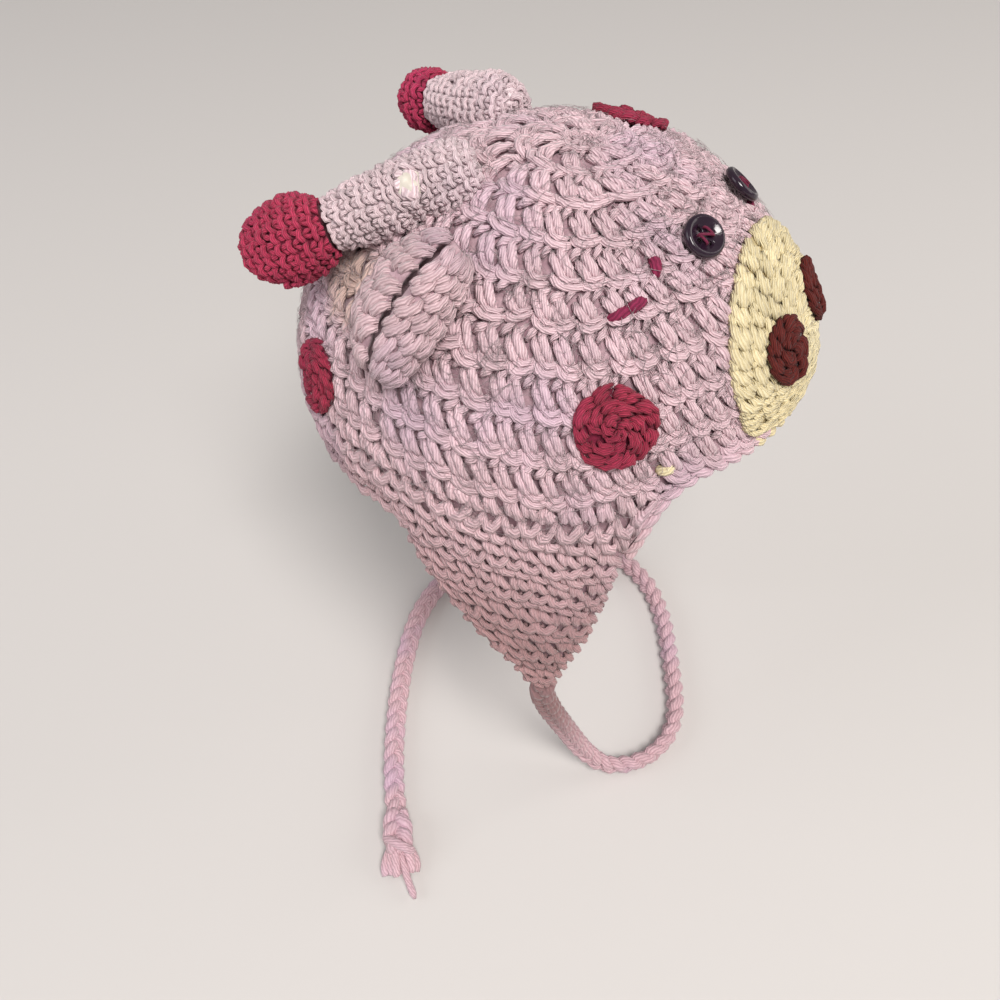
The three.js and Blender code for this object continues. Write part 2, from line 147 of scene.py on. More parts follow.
# ---------------------------------------------------------------- finishes
class Graph:
    """A thin layer over a node tree that adds nodes and links by short calls."""

    def __init__(self, tree: bpy.types.NodeTree) -> None:
        """Keeps the tree to add to."""
        self.tree = tree

    def node(self, kind: str, inputs: dict | None = None, **settings) -> bpy.types.Node:
        """Adds one node.

        Args:
            kind: The node's type name.
            inputs: Input name or index to a value or to an output socket to link from.
            **settings: Properties to set on the node.

        Returns:
            The new node.
        """
        made = self.tree.nodes.new(kind)
        for name, value in settings.items():
            setattr(made, name, value)
        for key, value in (inputs or {}).items():
            if isinstance(value, bpy.types.NodeSocket):
                self.tree.links.new(value, made.inputs[key])
            else:
                made.inputs[key].default_value = value
        return made

    def maths(
        self, operation: str, first: SocketValue, second: SocketValue = 0.0, third: SocketValue = 0.0
    ) -> bpy.types.NodeSocket:
        """Adds a Math node.

        Args:
            operation: The node's operation.
            first: Its first number or a socket to link from.
            second: Its second.
            third: Its third.

        Returns:
            The output.
        """
        made = self.node("ShaderNodeMath", {0: first, 1: second, 2: third}, operation=operation)
        return made.outputs[0]

    def blend(
        self, share: SocketValue, first: ColourValue, second: ColourValue, mode: str = "MIX"
    ) -> bpy.types.NodeSocket:
        """Adds a colour Mix node.

        Args:
            share: Share of the second colour, or a socket.
            first: A colour or a socket.
            second: A colour or a socket.
            mode: How the two are mixed.

        Returns:
            The output.
        """
        made = self.node("ShaderNodeMix", data_type="RGBA", blend_type=mode)
        for socket, value in ((made.inputs[0], share), (made.inputs[6], first), (made.inputs[7], second)):
            if isinstance(value, bpy.types.NodeSocket):
                self.tree.links.new(value, socket)
            else:
                socket.default_value = value if isinstance(value, (int, float)) else (*value, 1.0)
        return made.outputs[2]

    def span(
        self, value: SocketValue, low: float, high: float, to_low: float = 0.0, to_high: float = 1.0
    ) -> bpy.types.NodeSocket:
        """Adds a clamped smooth Map Range node.

        Args:
            value: The value to map.
            low: Value that gives to_low.
            high: Value that gives to_high.
            to_low: Result at low.
            to_high: Result at high.

        Returns:
            The output.
        """
        made = self.node(
            "ShaderNodeMapRange",
            {0: value, 1: low, 2: high, 3: to_low, 4: to_high},
            interpolation_type="SMOOTHSTEP",
        )
        return made.outputs[0]


def new_group(name: str, inputs: Sequence[tuple[str, float]], outputs: Sequence[str]) -> tuple[
    Graph, dict[str, bpy.types.NodeSocket], bpy.types.Node
]:
    """Starts a shader node group of plain numbers.

    Args:
        name: Name of the group.
        inputs: Name and default of each number that goes in.
        outputs: Name of each number that comes out.

    Returns:
        The group's graph, its input sockets by name and its output node.
    """
    tree = bpy.data.node_groups.new(name, "ShaderNodeTree")
    for label, default in inputs:
        socket = tree.interface.new_socket(name=label, in_out="INPUT", socket_type="NodeSocketFloat")
        socket.default_value = default
    for label in outputs:
        tree.interface.new_socket(name=label, in_out="OUTPUT", socket_type="NodeSocketFloat")
    graph = Graph(tree)
    entry = graph.node("NodeGroupInput")
    leave = graph.node("NodeGroupOutput")
    return graph, {label: entry.outputs[label] for label, _ in inputs}, leave


def ply_group() -> bpy.types.NodeTree:
    """Builds or finds the group that gives a strand its twisted plies and fine fibres.

    Returns:
        The group; Height is the relief, Groove the shade between plies, Fibre the fine streaks.
    """
    found = bpy.data.node_groups.get("yarn_plies")
    if found:
        return found
    graph, ins, leave = new_group(
        "yarn_plies", (("Plies", 8.0), ("Twist", 3.5)), ("Height", "Groove", "Fibre")
    )
    strand = graph.node("ShaderNodeUVMap", uv_map="strand")
    parts = graph.node("ShaderNodeSeparateXYZ", {0: strand.outputs[0]})
    along, around = parts.outputs[0], parts.outputs[1]
    tone = graph.node("ShaderNodeAttribute", attribute_name="tone").outputs["Fac"]
    place = graph.node("ShaderNodeTexCoord").outputs["Object"]
    wander = graph.node("ShaderNodeTexNoise", {"Vector": place, "Scale": 420.0, "Detail": 1.0})
    phase = graph.maths("MULTIPLY", around, ins["Plies"])
    phase = graph.maths("MULTIPLY_ADD", along, ins["Twist"], phase)
    phase = graph.maths("MULTIPLY_ADD", wander.outputs[0], 1.1, phase)
    wave = graph.maths("SINE", graph.maths("MULTIPLY", phase, 2 * math.pi))
    wave = graph.maths("MULTIPLY_ADD", wave, 0.5, 0.5)
    streaks = graph.node(
        "ShaderNodeCombineXYZ",
        {0: graph.maths("MULTIPLY", along, 5.0), 1: graph.maths("MULTIPLY_ADD", phase, 2.2, 0.0), 2: tone},
    )
    fibre = graph.node("ShaderNodeTexNoise", {"Vector": streaks.outputs[0], "Scale": 1.6, "Detail": 3.0})
    height = graph.maths("MULTIPLY_ADD", fibre.outputs[0], 0.55, graph.maths("MULTIPLY", wave, 0.8))
    graph.tree.links.new(height, leave.inputs["Height"])
    graph.tree.links.new(graph.span(wave, 0.5, 0.02), leave.inputs["Groove"])
    graph.tree.links.new(fibre.outputs[0], leave.inputs["Fibre"])
    return graph.tree


def patch_group() -> bpy.types.NodeTree:
    """Builds or finds the group that gives broad uneven patches, as hand-dyed yarn and handling leave.

    Returns:
        The group; Patch is the mask and Mottle a finer one.
    """
    found = bpy.data.node_groups.get("uneven_patches")
    if found:
        return found
    graph, ins, leave = new_group("uneven_patches", (("Size", 30.0),), ("Patch", "Mottle"))
    place = graph.node("ShaderNodeTexCoord").outputs["Object"]
    broad = graph.node("ShaderNodeTexNoise", {"Vector": place, "Scale": ins["Size"], "Detail": 2.0})
    fine = graph.node("ShaderNodeTexNoise", {"Vector": place, "Scale": 170.0, "Detail": 2.0})
    graph.tree.links.new(graph.span(broad.outputs[0], 0.45, 0.7), leave.inputs["Patch"])
    graph.tree.links.new(fine.outputs[0], leave.inputs["Mottle"])
    return graph.tree


@dataclass(frozen=True)
class YarnFinish:
    """Spun yarn: twisted plies, dark grooves, fine fibres and a soft sheen.

    Attributes:
        name: Name of the material.
        light: Colour of the raised plies.
        dark: Colour between the plies.
        blush: Colour of the broad uneven patches.
        blush_share: How strongly the patches show.
        plies: Ply lines round a strand.
        twist: Ply lines crossed in a centimetre along a strand.
        relief: Height of the plies in metres.
        sheen: Weight of the soft sheen.
        painted_shade: Painted shade colour that the yarn darkens to between two levels, where less light falls, if it
            does.
        stain_at: Middle of a tan patch in metres, if there is one.
        stain: Colour of that patch.
        painted_shade_from: Level where the painted shade starts, in metres.
        painted_shade_to: Level where it is whole.
    """

    name: str
    light: Colour
    dark: Colour
    blush: Colour
    blush_share: float = 0.35
    plies: float = 8.0
    twist: float = 3.5
    relief: float = 0.0004
    sheen: float = 0.25
    painted_shade: Colour | None = None
    stain_at: Point | None = None
    stain: Colour = (0.62, 0.45, 0.37)
    painted_shade_from: float = -0.040
    painted_shade_to: float = -0.150

    def material(self) -> bpy.types.Material:
        """Builds or finds the material.

        Returns:
            The material.
        """
        found = bpy.data.materials.get(self.name)
        if found:
            return found
        made = bpy.data.materials.new(self.name)
        made.use_nodes = True
        graph = Graph(made.node_tree)
        shader = made.node_tree.nodes["Principled BSDF"]
        plies = graph.node("ShaderNodeGroup", node_tree=ply_group())
        plies.inputs["Plies"].default_value = self.plies
        plies.inputs["Twist"].default_value = self.twist
        patches = graph.node("ShaderNodeGroup", node_tree=patch_group())
        tone = graph.node("ShaderNodeAttribute", attribute_name="tone").outputs["Fac"]
        groove = graph.maths("MULTIPLY", plies.outputs["Groove"], 0.62)
        colour = graph.blend(groove, self.light, self.dark)
        streak = graph.span(plies.outputs["Fibre"], 0.42, 0.7, 0.0, 0.35)
        colour = graph.blend(streak, colour, self.dark)
        share = graph.maths("MULTIPLY", patches.outputs["Patch"], self.blush_share)
        colour = graph.blend(share, colour, self.blush)
        if self.stain_at:
            place = graph.node("ShaderNodeTexCoord").outputs["Object"]
            far = graph.node("ShaderNodeVectorMath", {0: place, 1: self.stain_at}, operation="DISTANCE")
            far = graph.maths("MULTIPLY_ADD", patches.outputs["Mottle"], 0.016, far.outputs["Value"])
            colour = graph.blend(graph.span(far, 0.026, 0.014, 0.0, 0.8), colour, self.stain)
        # Painted shade: the colour darkens between two levels, in place of the light falling off.
        if self.painted_shade:
            place = graph.node("ShaderNodeTexCoord").outputs["Object"]
            level = graph.node("ShaderNodeSeparateXYZ", {0: place}).outputs[2]
            share = graph.span(level, self.painted_shade_from, self.painted_shade_to, 0.0, 0.85)
            colour = graph.blend(share, colour, self.painted_shade)
        bright = graph.maths("MULTIPLY_ADD", tone, 0.2, 0.86)
        bright = graph.maths("MULTIPLY_ADD", patches.outputs["Mottle"], 0.14, graph.maths("SUBTRACT", bright, 0.05))
        grey = graph.node("ShaderNodeCombineColor", {0: bright, 1: bright, 2: bright})
        colour = graph.blend(1.0, colour, grey.outputs[0], "MULTIPLY")
        graph.tree.links.new(colour, shader.inputs["Base Color"])
        bump = graph.node(
            "ShaderNodeBump",
            {"Strength": 0.85, "Distance": self.relief, "Height": plies.outputs["Height"]},
        )
        graph.tree.links.new(bump.outputs[0], shader.inputs["Normal"])
        shader.inputs["Roughness"].default_value = 0.82
        shader.inputs["Specular IOR Level"].default_value = 0.25
        shader.inputs["Sheen Weight"].default_value = self.sheen
        shader.inputs["Sheen Roughness"].default_value = 0.45
        return made


@dataclass(frozen=True)
class BackFinish:
    """The wrong side of crocheted fabric, behind the stitches: ridges of rows and stitches.

    Attributes:
        name: Name of the material.
        light: Colour of the ridges.
        dark: Colour of the hollows.
        cell: Spacing of the ridges, in cells per metre.
    """

    name: str
    light: Colour
    dark: Colour
    cell: float = 210.0

    def material(self) -> bpy.types.Material:
        """Builds or finds the material.

        Returns:
            The material.
        """
        found = bpy.data.materials.get(self.name)
        if found:
            return found
        made = bpy.data.materials.new(self.name)
        made.use_nodes = True
        graph = Graph(made.node_tree)
        shader = made.node_tree.nodes["Principled BSDF"]
        place = graph.node("ShaderNodeTexCoord").outputs["Object"]
        loops = graph.node(
            "ShaderNodeTexVoronoi",
            {"Vector": place, "Scale": self.cell, "Randomness": 0.75},
            feature="SMOOTH_F1",
        )
        fibre = graph.node("ShaderNodeTexNoise", {"Vector": place, "Scale": 1500.0, "Detail": 2.0})
        colour = graph.blend(graph.span(loops.outputs["Distance"], 0.15, 0.75), self.light, self.dark)
        shade = graph.span(fibre.outputs[0], 0.3, 0.7, 0.0, 0.4)
        colour = graph.blend(shade, colour, self.dark)
        graph.tree.links.new(colour, shader.inputs["Base Color"])
        ridge = graph.maths("SUBTRACT", 1.0, loops.outputs["Distance"])
        height = graph.maths("MULTIPLY_ADD", fibre.outputs[0], 0.12, ridge)
        bump = graph.node("ShaderNodeBump", {"Strength": 0.8, "Distance": 0.0012, "Height": height})
        graph.tree.links.new(bump.outputs[0], shader.inputs["Normal"])
        shader.inputs["Roughness"].default_value = 0.9
        shader.inputs["Specular IOR Level"].default_value = 0.2
        shader.inputs["Sheen Weight"].default_value = 0.2
        return made


@dataclass(frozen=True)
class ButtonFinish:
    """Glossy dark moulded plastic with faint scuffs.

    Attributes:
        name: Name of the material.
    """

    name: str = "dark_button_plastic"

    def material(self) -> bpy.types.Material:
        """Builds or finds the material.

        Returns:
            The material.
        """
        found = bpy.data.materials.get(self.name)
        if found:
            return found
        made = bpy.data.materials.new(self.name)
        made.use_nodes = True
        graph = Graph(made.node_tree)
        shader = made.node_tree.nodes["Principled BSDF"]
        place = graph.node("ShaderNodeTexCoord").outputs["Object"]
        swirl = graph.node("ShaderNodeTexNoise", {"Vector": place, "Scale": 260.0, "Detail": 3.0})
        scuff = graph.node("ShaderNodeTexNoise", {"Vector": place, "Scale": 1400.0, "Detail": 2.0})
        colour = graph.blend(swirl.outputs[0], (0.010, 0.004, 0.011), (0.026, 0.012, 0.025))
        graph.tree.links.new(colour, shader.inputs["Base Color"])
        graph.tree.links.new(graph.span(scuff.outputs[0], 0.35, 0.75, 0.10, 0.24), shader.inputs["Roughness"])
        bump = graph.node("ShaderNodeBump", {"Strength": 0.12, "Distance": 0.0001, "Height": scuff.outputs[0]})
        graph.tree.links.new(bump.outputs[0], shader.inputs["Normal"])
        return made


class Finish(Enum):
    """The finishes of the hat's pieces."""

    # Darker and warmer lower down on the crown and flaps: painted shade.
    LILAC = YarnFinish("lilac_yarn", (0.80, 0.595, 0.64), (0.44, 0.275, 0.31), (0.60, 0.44, 0.56), 0.5,
                       painted_shade=(0.34, 0.185, 0.180), stain_at=(-0.045, 0.057, -0.030))
    STEM = YarnFinish("pale_lilac_yarn", (0.84, 0.68, 0.71), (0.52, 0.37, 0.41), (0.70, 0.55, 0.64), 0.3)
    TIE = YarnFinish("tie_yarn", (0.70, 0.485, 0.53), (0.38, 0.22, 0.25), (0.56, 0.40, 0.54), 0.6)
    EAR = YarnFinish("ear_yarn", (0.67, 0.49, 0.52), (0.37, 0.23, 0.255), (0.52, 0.375, 0.46), 0.5)
    PLUM = YarnFinish("plum_yarn", (0.57, 0.050, 0.120), (0.16, 0.006, 0.024), (0.43, 0.028, 0.13), 0.4, sheen=0.07)
    SPOT = YarnFinish("spot_yarn", (0.40, 0.036, 0.078), (0.12, 0.005, 0.018), (0.31, 0.024, 0.085), 0.4, sheen=0.06)
    CREAM = YarnFinish("cream_yarn", (0.78, 0.695, 0.455), (0.60, 0.48, 0.24), (0.80, 0.74, 0.52), 0.3, sheen=0.15)
    MAROON = YarnFinish("maroon_yarn", (0.135, 0.016, 0.012), (0.035, 0.005, 0.005), (0.08, 0.012, 0.012), 0.3,
                        sheen=0.03)
    # Darker towards the top of the near tie, under the flap: painted shade.
    NEAR_TIE = YarnFinish("worn_tie_yarn", (0.66, 0.45, 0.49), (0.36, 0.21, 0.24), (0.56, 0.40, 0.52), 0.5,
                          painted_shade=(0.20, 0.105, 0.100), painted_shade_from=-0.262, painted_shade_to=-0.185)
    THREAD = YarnFinish("sewing_yarn", (0.26, 0.024, 0.075), (0.09, 0.006, 0.025), (0.20, 0.02, 0.08), sheen=0.05)
    # The inside is the same lilac yarn with its wrong-side ridges. Its darker colour is painted shade, seen in the gaps
    # between stitches.
    LILAC_BACK = BackFinish("lilac_back", (0.54, 0.38, 0.42), (0.29, 0.175, 0.21))
    STEM_BACK = BackFinish("pale_back", (0.80, 0.70, 0.72), (0.58, 0.45, 0.49))
    PLUM_BACK = BackFinish("plum_back", (0.22, 0.018, 0.050), (0.07, 0.004, 0.015))
    CREAM_BACK = BackFinish("cream_back", (0.68, 0.57, 0.32), (0.42, 0.33, 0.16))
    MAROON_BACK = BackFinish("maroon_back", (0.05, 0.010, 0.009), (0.018, 0.004, 0.004))
    STUFFING = BackFinish("white_stuffing", (0.74, 0.70, 0.62), (0.55, 0.51, 0.44), 380.0)
    BUTTON = ButtonFinish()


# ---------------------------------------------------------------- mesh tools
def settle_order(bm: bmesh.types.BMesh) -> None:
    """Sorts edges and faces by their vertices, so that every run gives one and the same mesh.

    Args:
        bm: The mesh, whose vertices already come in a fixed order.
    """
    bm.verts.index_update()
    for parts in (bm.edges, bm.faces):
        corners = [[vert.index for vert in part.verts] for part in parts]
        keys = [min(row) * 1e7 + sum(row) for row in corners]
        parts.index_update()
        parts.sort(key=lambda part: keys[part.index])
        parts.index_update()


def object_from(bm: bmesh.types.BMesh, name: str, smooth: bool = True) -> bpy.types.Object:
    """Turns a finished bmesh into an object at the origin.

    Args:
        bm: The mesh in metres, which is freed.
        name: Name of the object.
        smooth: Whether its faces are shaded smooth.

    Returns:
        The new object.
    """
    mesh = bpy.data.meshes.new(name)
    settle_order(bm)
    bm.to_mesh(mesh)
    bm.free()
    mesh.polygons.foreach_set("use_smooth", [smooth] * len(mesh.polygons))
    made = bpy.data.objects.new(name, mesh)
    bpy.context.scene.collection.objects.link(made)
    return made


def smooth_path(points: Sequence[Sequence[float]], count: int) -> np.ndarray:
    """Runs a centripetal curve through points and steps along it evenly.

    Args:
        points: The points that the curve goes through.
        count: How many steps it is cut into.

    Returns:
        An array of count + 1 points.
    """
    rows = np.array(points, float)
    rows = np.vstack([2 * rows[0] - rows[1], rows, 2 * rows[-1] - rows[-2]])
    pieces = []
    for i in range(1, len(rows) - 2):
        p0, p1, p2, p3 = rows[i - 1 : i + 3]
        t1 = np.linalg.norm(p1 - p0) ** 0.5 + 1e-9
        t2 = t1 + np.linalg.norm(p2 - p1) ** 0.5 + 1e-9
        t3 = t2 + np.linalg.norm(p3 - p2) ** 0.5 + 1e-9
        t = np.linspace(t1, t2, 17)[:-1, None]
        a1 = (t1 - t) / t1 * p0 + t / t1 * p1
        a2 = (t2 - t) / (t2 - t1) * p1 + (t - t1) / (t2 - t1) * p2
        a3 = (t3 - t) / (t3 - t2) * p2 + (t - t2) / (t3 - t2) * p3
        b1 = (t2 - t) / t2 * a1 + t / t2 * a2
        b2 = (t3 - t) / (t3 - t1) * a2 + (t - t1) / (t3 - t1) * a3
        pieces.append((t2 - t) / (t2 - t1) * b1 + (t - t1) / (t2 - t1) * b2)
    dense = np.vstack([*pieces, rows[-2][None]])
    reach = np.concatenate([[0], np.cumsum(np.linalg.norm(np.diff(dense, axis=0), axis=1))])
    even = np.linspace(0, reach[-1], count + 1)
    return np.stack([np.interp(even, reach, dense[:, k]) for k in range(3)], axis=1)


def frames_along(path: np.ndarray, up: Sequence[float] = (0, 0, 1)) -> list[Matrix]:
    """Carries a cross-section's frame along a path without twisting it.

    Args:
        path: The points, in millimetres.
        up: The direction that the section's Y axis starts nearest to.

    Returns:
        One matrix a point, with Z along the path.
    """
    steps = np.gradient(path, axis=0)
    frames = []
    above = Vector(up)
    for place, step in zip(path, steps):
        ahead = Vector(step).normalized()
        above = above - ahead * above.dot(ahead)
        above = above.normalized() if above.length > 1e-6 else ahead.orthogonal().normalized()
        side = above.cross(ahead).normalized()
        matrix = Matrix((side, above, ahead)).transposed().to_4x4()
        frames.append(Matrix.Translation(Vector(place)) @ matrix)
    return frames


def sweep(
    bm: bmesh.types.BMesh,
    path: np.ndarray,
    radius: float,
    sides: int,
    flatten: float = 1.0,
    end_share: float = 0.6,
    up: Sequence[float] = (0, 0, 1),
) -> list[bmesh.types.BMVert]:
    """Extrudes a closed strand along a path, with its own map: x in centimetres along, y round it.

    Args:
        bm: The mesh to add to, in millimetres.
        path: The centre line.
        radius: Half the strand's width.
        sides: Faces round it.
        flatten: Its height as a share of its width.
        end_share: Its size at its two ends, as a share.
        up: Where the section's Y axis starts.

    Returns:
        The strand's new vertices.
    """
    layer = bm.loops.layers.uv.get("strand") or bm.loops.layers.uv.new("strand")
    reach = np.concatenate([[0], np.cumsum(np.linalg.norm(np.diff(path, axis=0), axis=1))]) / 10
    shapes = []
    for index, matrix in enumerate(frames_along(path, up)):
        size = radius * (end_share if index in (0, len(path) - 1) else 1.0)
        shapes.append(matrix @ Matrix.Diagonal((size, size * flatten, size, 1)))
    ring = bmesh.ops.create_circle(bm, cap_ends=False, segments=sides, radius=1.0)["verts"]
    where = {vert: (0, math.atan2(vert.co.y, vert.co.x) / (2 * math.pi)) for vert in ring}
    bmesh.ops.transform(bm, matrix=shapes[0], verts=ring)
    edges = list(dict.fromkeys(edge for vert in ring for edge in vert.link_edges))
    bmesh.ops.edgeloop_fill(bm, edges=edges)
    made = list(ring)
    for index in range(1, len(shapes)):
        grown = bmesh.ops.extrude_edge_only(bm, edges=edges)["geom"]
        ring = [item for item in grown if isinstance(item, bmesh.types.BMVert)]
        edges = [item for item in grown if isinstance(item, bmesh.types.BMEdge)]
        edges = [edge for edge in edges if edge.verts[0] in ring and edge.verts[1] in ring]
        back = shapes[index - 1].inverted()
        for vert in ring:
            flat = back @ vert.co
            where[vert] = (index, math.atan2(flat.y, flat.x) / (2 * math.pi))
        bmesh.ops.transform(bm, matrix=shapes[index] @ back, verts=ring)
        made.extend(ring)
    bmesh.ops.edgeloop_fill(bm, edges=edges)
    for face in dict.fromkeys(face for vert in made for face in vert.link_faces):
        rounds = [where[loop.vert][1] % 1.0 for loop in face.loops]
        wraps = len(rounds) == 4 and max(rounds) - min(rounds) > 0.5
        for loop, share in zip(face.loops, rounds):
            share += 1.0 if wraps and share < 0.5 else 0.0
            loop[layer].uv = (reach[where[loop.vert][0]], share)
    return made


def add_tone(target: bpy.types.Object, values: np.ndarray | float) -> None:
    """Writes the lightness of each vertex's own stitch, which the yarn finish reads.

    Args:
        target: The object.
        values: One value a vertex from 0 to 1, or one for all.
    """
    layer = target.data.attributes.new("tone", "FLOAT", "POINT")
    layer.data.foreach_set("value", np.broadcast_to(values, len(target.data.vertices)).astype(np.float32).copy())


def dress(target: bpy.types.Object, finish: Finish, stands_for: str | None = None) -> bpy.types.Object:
    """Gives a piece its finish and lets it ride on the hat.

    Args:
        target: The piece.
        finish: Its finish.
        stands_for: The frame's node that it replaces, if it does.

    Returns:
        The same piece.
    """
    target.data.materials.clear()
    target.data.materials.append(finish.value.material())
    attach(target, BODY)
    if stands_for:
        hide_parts(stands_for)
    LOG.info("%s: %d faces", target.name, len(target.data.polygons))
    return target


def core_of(node: str, name: str, inset: float, sink: float = 0.0) -> bpy.types.Object:
    """Copies a node of the frame, shrunk under its stitches.

    Args:
        node: The frame's node.
        name: Name of the new piece.
        inset: How far its surface goes in, in millimetres.
        sink: How far the whole piece moves towards the middle of the head, in millimetres.

    Returns:
        The new piece.
    """
    bm = bmesh.new()
    bm.from_mesh(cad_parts[node].data)
    bmesh.ops.remove_doubles(bm, verts=bm.verts, dist=1e-5)
    bm.normal_update()
    for vert, normal in [(vert, vert.normal.copy()) for vert in bm.verts]:
        vert.co -= normal * inset * MM
    if sink:
        middle = sum((vert.co for vert in bm.verts), Vector()) / len(bm.verts)
        inward = (Vector((0, 0, HEAD.centre * MM)) - middle).normalized()
        bmesh.ops.translate(bm, verts=bm.verts, vec=inward * sink * MM)
    return object_from(bm, name)


# ---------------------------------------------------------------- stitches
@dataclass(frozen=True)
class Strand:
    """One strand of a stitch.

    Attributes:
        route: Points as a share of the stitch's width, a share of its row and a height in millimetres.
        radius: Half the strand's thickness in millimetres.
        steps: How many lengths it is cut into.
    """

    route: tuple[Point, ...]
    radius: float
    steps: int


@dataclass(frozen=True)
class StitchPattern:
    """A stitch as a flat cell of strands: x across the stitch, y down its row, z outwards.

    Attributes:
        name: Name of the cell.
        width: Width of the cell in millimetres.
        height: Height of the cell in millimetres.
        strands: Its strands.
        sides: Faces round each strand.
    """

    name: str
    width: float
    height: float
    strands: tuple[Strand, ...]
    sides: int = 6

    def cell(self) -> bpy.types.Mesh:
        """Builds or finds the mesh of one stitch.

        Returns:
            The mesh, in millimetres.
        """
        found = bpy.data.meshes.get(self.name)
        if found:
            return found
        bm = bmesh.new()
        for strand in self.strands:
            flat = [(u * self.width, v * self.height, w) for u, v, w in strand.route]
            sweep(bm, smooth_path(flat, strand.steps), strand.radius, self.sides, flatten=0.88)
        mesh = bpy.data.meshes.new(self.name)
        bm.to_mesh(mesh)
        bm.free()
        return mesh


class Stitch(Enum):
    """The kinds of stitch on the hat."""

    TALL = StitchPattern("tall_stitch", 7.3, 13.0, (
        Strand(((0.16, 0.60, -2.0), (0.28, 0.76, -1.0), (0.48, 0.88, -0.2), (0.76, 0.93, 0.1),
                (1.02, 0.91, -0.1), (1.22, 0.84, -1.0), (1.34, 0.76, -2.2)), 1.38, 6),
        Strand(((0.40, 0.56, -1.9), (0.56, 0.69, -0.7), (0.82, 0.76, -0.1), (1.06, 0.73, -0.7),
                (1.20, 0.62, -2.1)), 1.2, 4),
        Strand(((0.16, -0.08, -1.9), (0.34, 0.10, -0.5), (0.54, 0.30, 0.2), (0.74, 0.51, 0.1),
                (0.94, 0.74, -1.6)), 1.5, 3),
        Strand(((-0.08, 0.08, -2.2), (0.10, 0.26, -0.8), (0.30, 0.45, -0.2), (0.52, 0.62, -0.4),
                (0.78, 0.78, -1.9)), 1.5, 3),
        Strand(((1.16, -0.12, -1.5), (0.98, 0.06, 0.0), (0.74, 0.24, -1.3)), 1.4, 2),
        Strand(((0.66, -0.12, -1.6), (0.48, 0.03, -0.2), (0.22, 0.18, -1.5)), 1.3, 2),
    ), sides=5)
    PAIR = StitchPattern("pair_stitch", 6.0, 17.0, (
        Strand(((0.02, -0.04, -1.8), (0.18, 0.08, -0.3), (0.32, 0.22, -0.1), (0.46, 0.34, -1.6)), 1.5, 3),
        Strand(((0.40, -0.02, -1.7), (0.56, 0.12, 0.1), (0.82, 0.25, 0.1), (1.14, 0.33, -1.4)), 1.6, 3),
        Strand(((-0.06, 0.34, -1.8), (0.10, 0.50, -0.2), (0.42, 0.61, 0.4), (0.78, 0.57, 0.2),
                (1.06, 0.36, -1.4)), 1.6, 5),
        Strand(((0.30, 0.54, -1.8), (0.52, 0.73, -0.4), (0.86, 0.86, 0.2), (1.22, 0.88, -0.1),
                (1.50, 0.78, -1.8)), 1.6, 4),
        Strand(((0.02, 0.62, -2.0), (0.20, 0.80, -0.8), (0.46, 0.96, -0.8), (0.72, 1.04, -1.8)), 1.45, 2),
    ), sides=5)
    SHORT = StitchPattern("short_stitch", 5.0, 5.0, (
        Strand(((-0.06, 0.56, -1.2), (0.18, 0.84, 0.0), (0.52, 0.94, 0.35), (0.86, 0.80, 0.0),
                (1.08, 0.52, -1.2)), 1.2, 4),
        Strand(((0.16, -0.12, -1.1), (0.28, 0.22, 0.15), (0.50, 0.60, -0.6)), 1.15, 2),
        Strand(((0.94, -0.14, -1.1), (0.80, 0.18, 0.05), (0.56, 0.56, -0.7)), 1.1, 2),
    ), sides=6)
    SLANT = StitchPattern("slanted_stitch", 5.0, 5.0, (
        Strand(((-0.16, 1.00, -1.3), (0.16, 0.98, 0.0), (0.56, 0.76, 0.4), (0.92, 0.42, 0.1),
                (1.12, 0.10, -1.2)), 1.3, 4),
        Strand(((0.02, 0.52, -1.2), (0.26, 0.48, 0.1), (0.60, 0.26, 0.2), (0.90, -0.08, -1.1)), 1.2, 3),
        Strand(((0.46, 1.12, -1.2), (0.72, 0.94, 0.0), (1.02, 0.72, -1.0)), 1.15, 2),
    ), sides=6)
    FIBRE = StitchPattern("loose_fibre", 5.0, 5.0, (
        Strand(((0.0, 0.0, -0.8), (0.35, 0.3, 0.6), (0.8, 0.25, 1.3), (1.2, 0.6, 1.5)), 0.06, 4),
    ), sides=3)


